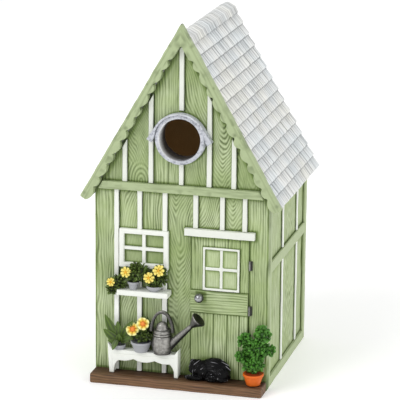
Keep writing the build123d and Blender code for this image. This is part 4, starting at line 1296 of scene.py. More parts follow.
class BIRDHOUSE_OT_door(bpy.types.Operator):
    """Door boards, rail, knob and hinges"""

    bl_idname = "birdhouse.door"
    bl_label = "Door"

    def execute(self, context):
        self.make_boards()
        self.make_rail()
        self.make_metal()
        return {"FINISHED"}

    def make_boards(self):
        """Upright boards, each with its own grain, round the plate behind the window."""
        parts = loose_parts(copy_of("door_boards", "door_boards_carved"))
        parts.sort(key=lambda o: o.bound_box[0][0])
        lights = frame_boxes("door_window_frame", LIGHT_BAR) + cross_boxes("door_window_bars", LIGHT_BAR)
        shades = [
            (lights, LIGHT_EDGE),
            ([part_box("door_rail")], RAIL_EDGE),
            ([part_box("door_lintel")], LINTEL_SHADE),
        ]
        rail_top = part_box("door_rail")[1].z
        for index, part in enumerate(parts):
            remeshed(part, DOOR_STEP, 3)
            engrave(part, (0, -1, 0), 0, 2, 901 + 17 * index, 0.9)
            places = points_of(part)
            across, up = places[:, 0], places[:, 2]
            edge = np.minimum(across - across.min(), across.max() - across)
            seams = np.where(up > rail_top, 0.2, 0.75) * bell(edge, 0.28 * MM)
            jamb = bell(across - across.min(), 0.6 * MM) if index == 0 else 0
            # Painted shade beside the window, rail and lintel, and painted shadow round the cat and pot,
            # over dark seams and real stains
            beside = [dark_beside(across, up, boxes, *edges) for boxes, edges in shades]
            stains = 0.14 * (1 + patches(across, up, 9, 16, 97))
            mark(part, "wash", deepest(seams, jamb, *beside, contact_shade(across, up), stains))
        parts.append(self.pane(lights))
        hand_over(join(parts, "door_boards_carved"), finish("wall"), "wall_green", "door_boards")

    def make_rail(self):
        """Rail across the door, darker at its edges, with painted shadow round the knob."""
        rail = remeshed(copy_of("door_rail", "door_rail_carved"), DOOR_STEP, 2)
        engrave(rail, (0, -1, 0), 2, 0, 951, swirl=1.2 * MM)
        places = points_of(rail)
        low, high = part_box("door_rail")
        edge = np.minimum(places[:, 2] - low.z, high.z - places[:, 2])
        # Painted shadow round the knob
        halo = dark_beside(places[:, 0], places[:, 2], [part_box("door_knob")], *KNOB_SHADE)
        mark(rail, "wash", deepest(0.8 * bell(edge, 0.4 * MM), halo, 0.15))
        hand_over(rail, finish("rail"), "wall_green", "door_rail")

    def make_metal(self):
        """Knob and hinges."""
        knob = remeshed(copy_of("door_knob", "door_knob_cast"), 0.22 * MM, 2)
        move_points(knob, points_of(knob) + normals_of(knob) * KNOB_SWELL * MM)
        # Painted shade on the knob's side turned from the light, leaving a painted highlight
        mark(knob, "wash", np.clip(0.9 - 1.4 * (normals_of(knob) @ KNOB_SHINE), 0, 0.85))
        hand_over(knob, finish("knob"), "pewter", "door_knob")
        hinges = remeshed(copy_of("door_hinges", "door_hinges_cast"), 0.2 * MM, 2)
        places = points_of(hinges)
        start = places[:, 0].min()
        places[:, 0] = start + (places[:, 0] - start) * HINGE_WIDTH
        move_points(hinges, places)
        # Painted highlight on the hinges' left edge and painted shade to the right
        mark(hinges, "wash", np.clip((places[:, 0] - start) / (1.1 * MM) - 0.6, 0, 0.85))
        hand_over(hinges, finish("iron"), "pewter", "door_hinges")

    def pane(self, lights):
        """Smooth plate behind the door's window."""
        low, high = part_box("door_window_frame")
        middle, size = (low + high) / 2, high - low
        place = middle.x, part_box("door_boards")[0].y + 0.3 * MM, middle.z
        plate = primitive("cube", (size.x - 1 * MM, 1.0 * MM, size.z - 1 * MM), size=1, location=place)
        engrave(remeshed(plate, DOOR_STEP, 1), (0, -1, 0), 0, 2, 989, PANE_GRAIN)
        places = points_of(plate)
        grain = carved_grain(places[:, 0], places[:, 2], 989)
        mark(plate, "grain", PANE_LEVEL + PANE_GRAIN * (grain - 1))
        # Painted shade along the inside of the window's frame
        mark(plate, "wash", dark_beside(places[:, 0], places[:, 2], lights, *PANE_SHADE))
        return plate


# How much of its rise the hood's arch loses, and how deep the painted light in the bore goes
HOOD_SINK = 0.03
BORE_LIGHT = 13 * MM


class BIRDHOUSE_OT_entrance(bpy.types.Operator):
    """Entrance ring and the hood over it"""

    bl_idname = "birdhouse.entrance"
    bl_label = "Entrance"

    def execute(self, context):
        for node, seed in (("entrance_ring", 1001), ("entrance_hood", 1011)):
            piece = carved(node, f"{node}_carved", seed, step=0.4 * MM, amount=0.3 * MM)
            if node == "entrance_ring":
                self.shade_bore(piece)
            else:
                places = points_of(piece)
                places[:, 2] -= HOOD_SINK * np.maximum(places[:, 2] - HOLE.z, 0)
                move_points(piece, places)
            hand_over(piece, finish("ring"), "ring_grey", node)
        return {"FINISHED"}

    def shade_bore(self, ring):
        """Bore with painted light on its left near the front and painted shade below and further in."""
        places, normals = points_of(ring), normals_of(ring)
        radial = places[:, (0, 2)] - np.array((HOLE.x, HOLE.z))
        radial = radial / np.linalg.norm(radial, axis=1)[:, None]
        inward = unit(-(normals[:, (0, 2)] * radial).sum(axis=1))
        depth = unit((places[:, 1] - places[:, 1].min()) / BORE_LIGHT)
        mark(ring, "wash", inward * unit(1.3 * depth - 0.1 + 0.5 * unit(-radial[:, 1])))
        mark(ring, "bright", inward * unit(-1.4 * radial[:, 0]) * (1 - depth))


# Roof: lengths along and square to the slope, in millimetres where no unit is given

PANEL_RISE = 3.0
SHINGLE_TOP = 5.0
SHINGLE_HEAD = 0.4
SHINGLE_BUTT = 2.5
SHINGLE_LAP = 1.6
COURSES = 14
CAP_REACH = 6.0
COURSE_END = (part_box("right_shingle_courses")[1].x / MM - SHINGLE_TOP * math.sin(PITCH)) / math.cos(PITCH)
COURSE_PITCH = (COURSE_END - CAP_REACH) / COURSES
CAP_BUTT = 5.3
RIDGE_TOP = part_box("ridge_cap")[1].z
PANEL_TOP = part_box("left_roof_panel")[1].z
CROWN_HALF = 2.6 * MM
CROWN = [(-1.0, 1.1), (-0.45, 0.25), (0.0, 0.05), (0.45, 0.25), (1.0, 1.1)]
CAP_END = CAP_REACH + 0.9
WIDE_SHINGLE = 3.2
JOINT = 0.1


def slope_point(along, rise, sign):
    """Point of the roof's cross-section in metres, from millimetres along and square to the slope."""
    across = along * math.cos(PITCH) + rise * math.sin(PITCH)
    return sign * across * MM, APEX - (along * math.sin(PITCH) - rise * math.cos(PITCH)) * MM


def rib_count(start, end):
    """Number of strips across a shingle: one more on a wide one."""
    return 3 if end - start > WIDE_SHINGLE else 2


def shingle(places, faces, tints, lift, sign, head, butt, start, end, thick, dice):
    """Add one split shingle: thin where it slips under the course above, thick at its butt, with a painted
    shadow from its head to just below the butt above and on its underside.
    """
    ribs = rib_count(start, end)
    skew = dice.uniform(-0.25, 0.25)
    drop = dice.uniform(0, 0.35)
    tint = dice.uniform(0, 1)
    base = len(places)
    # Painted shadow: dark from the head to just below the butt above, and on the underside
    shadow = head + SHINGLE_LAP + 0.4
    rows = [
        (head, SHINGLE_HEAD, 0.0), (shadow, 0.85, 0.0), (shadow + 0.5, 1.0, 0.7),
        (butt - 0.5, thick, 1.0), (butt, thick - 0.35, 1.0),
    ]
    for rib in range(ribs + 1):
        y = (start + (end - start) * rib / ribs) * MM
        slip = max(0, skew * (rib / ribs)) + max(0, -skew * (1 - rib / ribs))
        groove = dice.uniform(0.08, 0.5) if rib in (0, ribs) else dice.uniform(-0.1, 0.22)
        for along, rise, depth in rows:
            top = PANEL_RISE + max(0.2, rise - (drop + groove) * depth)
            x, z = slope_point(along - (slip if along > head else 0), top, sign)
            places.append((x, y, z))
            tints.append(tint)
            lift.append((1 - 1.2 * max(groove, 0)) * (0.15 + 0.85 * depth))
        for along, rise, share in ((butt - slip, SHINGLE_HEAD + 0.05, 0.15), (head, 0.02, 0.1)):
            x, z = slope_point(along, PANEL_RISE + rise, sign)
            places.append((x, y, z))
            tints.append(tint)
            lift.append(share)
    loft(faces, base, len(rows) + 2, ribs)


def ridge_shingle(places, faces, tints, lift, start, end, dice):
    """Add one folded shingle of the ridge row, over both slopes."""
    ribs = rib_count(start, end)
    drop, tint, slip = dice.uniform(0, 0.3), dice.uniform(0, 1), dice.uniform(0, 0.6)
    base = len(places)
    section = [(CAP_END - slip, CAP_BUTT), (CAP_END - slip - 0.5, CAP_BUTT + 0.35), (1.5, CAP_BUTT + 0.5)]
    for rib in range(ribs + 1):
        y = (start + (end - start) * rib / ribs) * MM
        groove = 0.34 if rib in (0, ribs) else dice.uniform(-0.05, 0.25)
        sink = (drop + groove) * MM
        left = [slope_point(along, rise - drop - groove, -1) for along, rise in section]
        right = [slope_point(along, rise - drop - groove, 1) for along, rise in reversed(section)]
        crown = [(across * CROWN_HALF, RIDGE_TOP - fall * MM - sink) for across, fall in CROWN]
        under = [slope_point(CAP_END - slip, PANEL_RISE + 0.7, sign) for sign in (1, -1)]
        hollow = 0.0, PANEL_TOP + 0.05 * MM
        ring = [*left, *crown, *right, under[0], hollow, under[1]]
        places.extend((x, y, z) for x, z in ring)
        tints.extend([tint] * len(ring))
        # Painted shade on the ridge row's butts and underside
        shine = 0.84 - max(groove, 0)
        lift.extend([0.5 * shine] + [shine] * (len(ring) - 5) + [0.5 * shine, 0.15, 0.1, 0.15])
    loft(faces, base, len(ring), ribs)


def spans(low, high, dice, narrow=3.0, wide=5.8):
    """Random stretches that fill a course, with a narrow gap between neighbours."""
    edges = [low]
    while edges[-1] < high - wide:
        edges.append(edges[-1] + dice.uniform(narrow, wide))
    edges.append(high)
    if edges[-1] - edges[-2] < narrow / 2:
        edges.pop(-2)
    return [(start + JOINT, end - JOINT) for start, end in zip(edges, edges[1:])]


def shingled(name, places, faces, tints, lift, *nodes):
    """Finish a field of shingles."""
    field = mesh_piece(name, places, faces, smooth=False)
    face_outwards(field)
    bpy.ops.object.shade_smooth_by_angle(angle=math.radians(30))
    mark(field, "tint", tints)
    mark(field, "grain", unit(lift))
    return hand_over(field, finish("shingle"), "shingle_white", *nodes)


class BIRDHOUSE_OT_roof(bpy.types.Operator):
    """Shingle courses on both slopes and the rounded ridge row"""

    bl_idname = "birdhouse.roof"
    bl_label = "Roof"

    def execute(self, context):
        dice = random.Random(17)
        for side, sign in (("left", -1), ("right", 1)):
            field = [], [], [], []
            for course in range(COURSES):
                head = CAP_REACH + course * COURSE_PITCH - SHINGLE_LAP
                thick = SHINGLE_BUTT if course < COURSES - 1 else SHINGLE_TOP - PANEL_RISE
                for start, end in spans(FRONT / MM, ROOF_BACK / MM, dice):
                    butt = CAP_REACH + (course + 1) * COURSE_PITCH - dice.uniform(0, 0.3)
                    shingle(*field, sign, head, butt, start, end, thick, dice)
            shingled(f"{side}_shingles", *field, f"{side}_shingle_courses")
        field = [], [], [], []
        for start, end in spans(FRONT / MM, ROOF_BACK / MM, dice):
            ridge_shingle(*field, start, end, dice)
        shingled("ridge_row", *field, "ridge_cap")
        return {"FINISHED"}


# Plants: balls of foliage are given as across, up, radius and the flower's width, in millimetres

FACING = Vector((0, -math.cos(math.radians(20)), math.sin(math.radians(20))))
BALL_LEAD = 0.6
SHELF_BALLS = [
    (-22.0, 3.2, 3.2, 5.4), (-22.8, -1.2, 3.2, 0), (-17.4, 4.6, 4.4, 0), (-11.4, 11.0, 3.2, 6.8),
    (-6.2, 11.4, 4.6, 0), (-1.6, 13.4, 4.3, 0), (4.6, 8.4, 3.4, 7.0), (7.6, 9.0, 4.2, 0),
    (11.3, 14.2, 3.8, 7.4), (12.6, 8.8, 3.8, 0), (-5.4, 14.6, 3.8, 0),
]
BENCH_BALLS = [(-5.6, 6.8, 3.9, 8.8), (-0.4, 5.4, 4.4, 0), (1.8, 11.2, 4.2, 8.4), (3.4, 5.6, 3.4, 0)]
SHRUB_BALLS = [
    (-1.4, 5.6, 4.6, 0), (-8.8, 9.8, 4.0, 0), (2.0, 16.6, 5.8, 0), (-6.6, 21.4, 4.9, 0),
    (9.8, 16.0, 4.0, 0), (5.4, 26.8, 5.6, 0), (2.0, 10.6, 4.4, 0), (-2.8, 14.6, 4.2, 0),
]
LOW_BALLS = {
    # leaves over the soil: across, up, radius, no flower, and how much further ahead
    "shelf": [
        (6.2, 4.8, 2.2, 0, 2.5), (10.4, 4.8, 2.2, 0, 2.5),
        (-7.6, 7.0, 2.0, 0, 1.6), (-4.6, 7.2, 2.0, 0, 1.6),
    ],
    "bench": [(-4.2, 3.0, 2.4, 0, 3.6), (0.2, 2.6, 2.8, 0, 4.4), (4.2, 3.2, 2.4, 0, 3.6)],
    "shrub": [(-4.6, 3.6, 3.0, 0, 2.4), (0.6, 3.0, 3.2, 0, 3.2), (4.2, 4.2, 2.8, 0, 2.4)],
}
CLUMPS = {
    # balls, then across, floor and how far ahead of the wall the clump's back is
    "shelf": (SHELF_BALLS, -24.3, 65.9, 3.3),
    "bench": (BENCH_BALLS, -25.5, 30.4, 2.3),
    "shrub": (SHRUB_BALLS, 52.6, 14.9, 1.8),
}


def ball_centre(ball, across, floor, back):
    """Middle of a ball of foliage in metres."""
    ahead = back + BALL_LEAD * ball[2] + sum(ball[4:])
    return Vector((across + ball[0], FRONT / MM - ahead, floor + ball[1])) * MM


# Outlines of leaves and petals: how far along from the root, and the share of the full width there
POINTED = [(0.0, 0.12), (0.3, 0.85), (0.62, 1.0), (0.88, 0.5), (1.0, 0.06)]
ROUNDED = [(0.0, 0.3), (0.3, 0.88), (0.62, 1.0), (0.88, 0.72), (1.0, 0.25)]
BROAD = [(0.0, 0.3), (0.22, 0.82), (0.48, 1.0), (0.78, 0.66), (1.0, 0.03)]
PETAL = [(0.0, 0.35), (0.4, 0.8), (0.74, 1.0), (0.93, 0.86), (1.0, 0.5)]


def leaf_shape(long, wide, fold, curl, rows=POINTED):
    """Closed thin leaf: points along its length from root to tip, and its faces."""
    points, faces = [], []
    for along, share in rows:
        half, y, sink = wide / 2 * share, along * long, -curl * along * along * long
        edge, under = sink + fold * half, sink - 0.16 * wide * share - 0.02
        points += [(-half, y, edge), (0, y, sink), (half, y, edge), (0, y, under)]
    for a in range(0, 4 * (len(rows) - 1), 4):
        for side in range(4):
            after = (side + 1) % 4
            faces.append((a + side, a + after, a + 4 + after, a + 4 + side))
    last = 4 * (len(rows) - 1)
    faces += [(0, 3, 2, 1), (last, last + 1, last + 2, last + 3)]
    return np.array(points), faces, np.repeat([along for along, share in rows], 4)


def scatter(places, faces, marks, shape, root, heading, up, low, high, size=1.0):
    """Add a copy of a leaf with its root at a place, growing along heading."""
    points, sides, along = shape
    heading = heading.normalized()
    across = heading.cross(up)
    across = across.normalized() if across.length > 1e-6 else Vector((1, 0, 0))
    turn = np.array(Matrix((across, heading, across.cross(heading))).transposed())
    base = len(places)
    moved = (points * size * MM) @ turn.T + np.array(root)
    places.extend(moved)
    faces.extend(tuple(base + index for index in face) for face in sides)
    marks.extend(low + (high - low) * along)


# Size of a dark core against its ball, a painted shade deep in the clump, where leaves would grow into the
# wall, and how deep their roots are
CORE_SIZE, WALL_SIDE, LEAF_ROOT = 0.66, 0.35, 0.62


def foliage(name, clump, leaf, spread, seed, reach=1.0, tones=(0.15, 0.55, 1.15), core_tone=0.1):
    """Clump of leaves that stand out of dark cores, one core for each ball; the cores and the leaves' dark
    roots are painted shade inside the clump. Tones are those of a leaf's root and of the darkest and
    brightest tips."""
    balls, across, floor, back = CLUMPS[clump]
    balls = balls + LOW_BALLS[clump]
    dice = random.Random(seed)
    places, faces, marks = [], [], []
    shape = leaf_shape(*leaf)
    for ball in balls:
        middle = ball_centre(ball, across, floor, back)
        count = round(spread * ball[2] ** 2)
        for index in range(count):
            up = 1 - 2 * (index + 0.5) / count
            turn = index * math.pi * (3 - math.sqrt(5)) + dice.uniform(-0.4, 0.4)
            flat = math.sqrt(1 - up * up)
            out = Vector((flat * math.cos(turn), flat * math.sin(turn), up))
            if out.y > WALL_SIDE:
                continue
            root = middle + out * (ball[2] * reach - leaf[0] * LEAF_ROOT) * MM
            stray = dice.uniform(-0.7, 0.7), dice.uniform(-0.5, 0.3), dice.uniform(-0.3, 0.8)
            heading = out + Vector(stray)
            tip = dice.uniform(*tones[1:])
            size = dice.uniform(0.75, 1.1)
            facing = out + Vector((0, -0.3, 0.2))
            scatter(places, faces, marks, shape, root, heading, facing, tones[0], tip, size)
    leaves = mesh_piece(f"{name}_leaves", places, faces)
    cores = []
    for ball in balls:
        middle = ball_centre(ball, across, floor, back)
        core = primitive("ico_sphere", subdivisions=3, radius=ball[2] * CORE_SIZE * MM, location=middle)
        bpy.ops.object.shade_smooth()
        # Painted shade: the cores take the darkest tone
        marks.extend([core_tone] * len(core.data.vertices))
        cores.append(core)
    clump_piece = join([leaves, *cores], name)
    mark(clump_piece, "leaf", marks)
    places = points_of(clump_piece)
    places[:, 1] = np.minimum(places[:, 1], FRONT - back * MM)
    move_points(clump_piece, places)
    return clump_piece


# Length, width, fold and curl of the leaves, and their outline
SMALL_LEAF = 3.4, 1.7, 0.4, 0.15
ROUND_LEAF = 2.9, 2.9, 0.2, 0.2, ROUNDED


class BIRDHOUSE_OT_foliage(bpy.types.Operator):
    """Leaves on the shelf, on the bench and in the clay pot"""

    bl_idname = "birdhouse.foliage"
    bl_label = "Foliage"

    def execute(self, context):
        for name, clump, finish_name, values in (
            ("shelf_leaves", "shelf", "foliage", (SMALL_LEAF, 6.0, 1201, 1.12)),
            ("bench_leaves", "bench", "foliage", (SMALL_LEAF, 6.0, 1211, 1.06)),
            ("shrub_leaves", "shrub", "shrub", (ROUND_LEAF, 3.6, 1221, 1.0, (0.4, 0.55, 1.0), 0.25)),
        ):
            node = clump if clump == "shrub" else f"{clump}_foliage"
            hand_over(foliage(name, clump, *values), finish(finish_name), "foliage_green", node)
        return {"FINISHED"}


# Root of the leaves: across, ahead of the wall and up, in millimetres
HOSTA_ROOT = (-40.9, 6.5, 27.9)
HOSTA_BLADES = [
    # turn from upright, lean to the front, length and width
    (-28, 8, 22.0, 10.6), (-50, 14, 14.5, 10.0), (-4, 10, 15.5, 9.0), (30, 10, 19.5, 9.6),
    (58, 16, 10.0, 7.0), (-80, 24, 8.5, 6.6), (8, 40, 9.5, 8.0),
]
HANGING_BLADE = (-1.2, 1.6, 2.4), (-0.25, -0.62, -0.75), 8.5, 7.0


class BIRDHOUSE_OT_hosta(bpy.types.Operator):
    """Broad ribbed leaves in the pot at the bench's left end"""

    bl_idname = "birdhouse.hosta"
    bl_label = "Hosta"

    def execute(self, context):
        root = Vector((HOSTA_ROOT[0] * MM, FRONT - HOSTA_ROOT[1] * MM, HOSTA_ROOT[2] * MM))
        facing = Vector((0, -1, 0.1))
        places, faces, marks = [], [], []
        for turn, lean, long, wide in HOSTA_BLADES:
            tilt, lean = math.radians(turn), math.radians(lean)
            flat = math.cos(lean)
            heading = Vector((math.sin(tilt) * flat, -math.sin(lean), math.cos(tilt) * flat))
            blade = leaf_shape(long, wide, 0.35, 0.1, BROAD)
            scatter(places, faces, marks, blade, root, heading, facing, 0.3, 0.9)
        start, heading, long, wide = HANGING_BLADE
        blade = leaf_shape(long, wide, 0.35, 0.05, BROAD)
        offset = Vector((start[0], -start[1], start[2])) * MM
        facing = Vector((-0.2, -0.8, 0.5))
        scatter(places, faces, marks, blade, root + offset, Vector(heading), facing, 0.4, 0.95)
        leaves = mesh_piece("hosta_blades", places, faces)
        mark(leaves, "leaf", marks)
        mark(leaves, "rib", [-1.0, 0.0, 1.0, 0.0] * (len(places) // 4))
        apply_modifier(leaves, "SUBSURF", levels=3, render_levels=3)
        ribs = 0.28 * np.cos(marks_of(leaves, "rib") * 3 * math.pi)
        mark(leaves, "leaf", np.clip(marks_of(leaves, "leaf") + ribs, 0, 1.2))
        hand_over(leaves, finish("hosta"), "foliage_green", "hosta_leaves")
        return {"FINISHED"}


def flower_seat(flower, balls, across, floor, back):
    """Middle of a flower's back, where it lies against the foliage."""
    own = ball_centre(flower, across, floor, back)
    reaches = []
    for ball in balls:
        offset = ball_centre(ball, across, floor, back) - own
        rise = offset.dot(FACING)
        aside = max((offset - FACING * rise).length - flower[3] / 2 * MM, 0)
        if aside < ball[2] * MM:
            reaches.append(rise + math.sqrt((ball[2] * MM) ** 2 - aside**2))
    return own + FACING * (max(reaches) + 0.05 * MM)


def daisy(places, faces, marks, seat, radius, eye, wide, rings, dice):
    """Add a daisy: blunt petals with gaps at their tips, a few short ones over them, and a domed eye."""
    across = Vector((1, 0, 0))
    up = FACING.cross(across)
    start = dice.uniform(0, 1)
    for ring, (count, reach, lift, droop) in enumerate(rings):
        petal = leaf_shape(radius * 0.86 * reach, radius * wide * (0.4 + 0.6 * reach), 0.3, droop, PETAL)
        for index in range(count):
            turn = 2 * math.pi * (index + start + 0.5 * ring + dice.uniform(-0.12, 0.12)) / count
            heading = across * math.cos(turn) + up * math.sin(turn)
            root = seat + heading * radius * 0.14 * MM + FACING * lift * MM
            scatter(places, faces, marks, petal, root, heading, FACING, 0.3, 1.0, dice.uniform(0.9, 1.05))
    rows, sides = 4, 12
    base = len(places)
    for row in range(rows + 1):
        dome = math.pi / 2 * row / rows
        for side in range(sides):
            turn = 2 * math.pi * side / sides
            out = (across * math.cos(turn) + up * math.sin(turn)) * eye * math.cos(dome)
            places.append(seat + (out + FACING * (0.5 + 0.6 * math.sin(dome))) * MM)
            marks.append(0.0)
    loft(faces, base, sides, rows)


class BIRDHOUSE_OT_flowers(bpy.types.Operator):
    """Daisies on the shelf and on the bench"""

    bl_idname = "birdhouse.flowers"
    bl_label = "Flowers"

    def execute(self, context):
        dice = random.Random(23)
        for clump, grow, eye, wide, rings in (
            # rings of petals: their count, length, lift and droop
            ("shelf", 1.12, 0.22, 0.56, [(8, 1.0, 0.35, 0.1), (5, 0.5, 0.6, 0.0)]),
            ("bench", 1.06, 0.34, 0.8, [(7, 1.0, 0.35, 0.1)]),
        ):
            balls, across, floor, back = CLUMPS[clump]
            places, faces, marks = [], [], []
            for ball in balls:
                if ball[3]:
                    radius = ball[3] / 2 * grow
                    seat = flower_seat(ball, balls, across, floor, back)
                    daisy(places, faces, marks, seat, radius, eye * radius, wide, rings, dice)
            flowers = mesh_piece(f"{clump}_daisies", places, faces)
            mark(flowers, "petal", marks)
            face_outwards(flowers)
            hand_over(flowers, finish(f"{clump}_petal"), "flower_yellow", f"{clump}_flowers")
        return {"FINISHED"}


# How far the dark soil reaches towards a pot's rim
SOIL_REACH = 0.86


class BIRDHOUSE_OT_pots(bpy.types.Operator):
    """Grey pots on the shelf and bench, and the clay pot on the porch"""

    bl_idname = "birdhouse.pots"
    bl_label = "Pots"

    def execute(self, context):
        for node, material, slot, seed in (
            ("shelf_pots", "pot", "pot_grey", 1301),
            ("bench_pots", "pot", "pot_grey", 1311),
            ("terracotta_pot", "clay", "terracotta", 1321),
        ):
            piece = carved(node, f"{node}_cast", seed, step=0.3 * MM, amount=0.15 * MM)
            places, normals = points_of(piece), normals_of(piece)
            soil = np.zeros(len(places))
            for low, high in loose_boxes(node):
                middle, radius = (low + high) / 2, (high[0] - low[0]) / 2
                reach = np.hypot(places[:, 0] - middle[0], places[:, 1] - middle[1]) / radius
                soil = np.maximum(soil, unit((SOIL_REACH - reach) / 0.1))
            mark(piece, "wash", soil * unit(2 * normals[:, 2] - 0.6))
            hand_over(piece, finish(material), slot, node)
        return {"FINISHED"}


# How far each part is swollen, the heights of the seams, and the side that painted light falls on, with
# painted shade on the sides turned from it
CAN_PROUD = {"body": 0.0, "handle": 0.22, "spout": 0.1}
CAN_LINES = (0.8, 12.9, 14.6, 16.9)
CAN_LINE_WIDTH = 0.35
CAN_LINE_DEPTH = 0.4
PAINTED_LIGHT_FROM = {
    "body": np.array((0.1, -0.9, 0.42)),
    "handle": np.array((-0.45, -0.35, 0.82)),
    "spout": np.array((-0.4, -0.62, 0.68)),
}
SPOUT_AXIS = (0.75, -0.15, 0.65)


class BIRDHOUSE_OT_watering_can(bpy.types.Operator):
    """Watering can with its handle, spout and rose"""

    bl_idname = "birdhouse.watering_can"
    bl_label = "Watering can"

    def execute(self, context):
        for part, seed in (("body", 1401), ("handle", 1411), ("spout", 1421)):
            node = f"watering_can_{part}"
            proud = CAN_PROUD[part] * MM
            piece = carved(node, f"{node}_cast", seed, step=0.24 * MM, amount=0.12 * MM, proud=proud)
            places, normals = points_of(piece), normals_of(piece)
            # Painted shade on the sides turned from the light, leaving painted highlights where they face
            # it
            wash = np.clip(1.3 - 1.45 * (normals @ PAINTED_LIGHT_FROM[part]), 0, 0.97)
            if part == "body":
                level = (places[:, 2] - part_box(node)[0].z) / MM
                lines = sum(bell(level - height, CAN_LINE_WIDTH) for height in CAN_LINES)
                outward = unit(1 - np.abs(normals[:, 2]))
                move_points(piece, places - normals * (CAN_LINE_DEPTH * MM * lines * outward)[:, None])
                wash = np.maximum(wash, unit(lines * outward))
            elif part == "spout":
                axis = np.array(SPOUT_AXIS) / np.linalg.norm(SPOUT_AXIS)
                wash = np.maximum(wash, unit((normals @ axis - 0.75) * 5))
            else:
                # Painted shade over the handle, with painted highlights where it faces the light
                wash = unit(0.93 - 1.2 * unit(normals @ PAINTED_LIGHT_FROM[part]) ** 1.6)
            mark(piece, "wash", wash)
            hand_over(piece, finish("pewter"), "pewter", node)
        return {"FINISHED"}


CAT_MASSES = [
    # along, ahead and up, then half length, depth and height, as shares of the cat's box
    (0.64, 0.42, 0.42, 0.35, 0.42, 0.56),
    (0.79, 0.56, 0.32, 0.20, 0.40, 0.34),
    (0.40, 0.48, 0.40, 0.22, 0.42, 0.44),
    (0.26, 0.55, 0.52, 0.18, 0.40, 0.36),
    (0.17, 0.52, 0.76, 0.06, 0.14, 0.12),
    (0.31, 0.48, 0.78, 0.06, 0.14, 0.10),
    (0.17, 0.80, 0.44, 0.07, 0.17, 0.11),
    (0.15, 0.78, 0.12, 0.15, 0.18, 0.12),
    (0.27, 0.84, 0.10, 0.13, 0.15, 0.10),
    (0.60, 0.86, 0.11, 0.15, 0.13, 0.11),
]
# Places along the tail, then the half sizes of its masses and their number
CAT_TAIL = [
    (0.95, 0.5, 0.22), (0.90, 0.72, 0.14), (0.80, 0.86, 0.10), (0.68, 0.89, 0.20), (0.55, 0.88, 0.24),
]
TAIL_HALF = 0.055, 0.13, 0.09
TAIL_STEPS = 12
FUR_DEPTH = 0.5


class BIRDHOUSE_OT_cat(bpy.types.Operator):
    """Cat asleep on the porch"""

    bl_idname = "birdhouse.cat"
    bl_label = "Sleeping cat"

    def execute(self, context):
        low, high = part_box("sleeping_cat")
        size = high - low
        tail = []
        for index in range(TAIL_STEPS + 1):
            step = index / TAIL_STEPS * (len(CAT_TAIL) - 1)
            first = CAT_TAIL[int(step)]
            second = CAT_TAIL[min(int(step) + 1, len(CAT_TAIL) - 1)]
            share = step - int(step)
            tail.append((*(a + (b - a) * share for a, b in zip(first, second)), *TAIL_HALF))
        pieces = []
        for along, ahead, up, half_x, half_y, half_z in CAT_MASSES + tail:
            place = (low.x + along * size.x, high.y - ahead * size.y, low.z + up * size.z)
            scale = (half_x * size.x, half_y * size.y, half_z * size.z)
            pieces.append(
                primitive("uv_sphere", scale, segments=32, ring_count=20, radius=1, location=place)
            )
        cat = join(pieces, "sleeping_cat_carved")
        edit_all(cat)
        bpy.ops.mesh.bisect(
            plane_co=(0, 0, low.z), plane_no=(0, 0, 1), use_fill=True, clear_inner=True, threshold=1e-7
        )
        leave_edit()
        remeshed(cat, 0.27 * MM, 4)
        places, normals = points_of(cat), normals_of(cat)
        middle = np.array((low.x + 0.62 * size.x, low.z + 0.2 * size.z))
        across, up = places[:, 0] - middle[0], places[:, 2] - middle[1]
        reach, turn = np.hypot(across, up * 1.3), np.arctan2(up, across)
        fur = carved_grain(reach, turn * 11 * MM, 1501, swirl=3.0 * MM, spacing=1.25 * MM)
        strokes = smooth_noise(reach / (1.5 * MM), turn * 11 / 3.4, 1507)
        places = places - normals * ((1 - fur) * FUR_DEPTH * MM)[:, None]
        places[:, 2] = np.maximum(places[:, 2], low.z)
        move_points(cat, places)
        # Painted highlights: grey glints on the fur's ridges, broken into strokes
        mark(cat, "fur", fur * unit(0.55 + 0.75 * strokes))
        hand_over(cat, finish("cat"), "cat_black", "sleeping_cat")
        return {"FINISHED"}


class BIRDHOUSE_OT_hardware(bpy.types.Operator):
    """Steel on the hinges, screws, button and hanger at the back, and bare resin inside"""

    bl_idname = "birdhouse.hardware"
    bl_label = "Hardware and inside"

    steel = [
        "hatch_fixed_leaves", "hatch_moving_leaves", "hatch_pins", "hatch_leaf_screws",
        "back_wall_screws", "turn_button", "turn_button_screw", "keyhole_plate",
    ]
    boards = ["left_roof_panel", "right_roof_panel"]

    def execute(self, context):
        for node in self.steel:
            dress(node, finish("steel"))
        for node in self.boards:
            dress(node, finish("roof_board"))
        dress("floor_panel", finish("inside"))
        return {"FINISHED"}


FLOOR_SIZE = 8
FLOOR_GLOW = 0.19
CAMERA_AIM = Vector((12.72 * MM, FRONT, 130 * MM))
LIGHT_AIM = Vector((0, 0, 0.12))


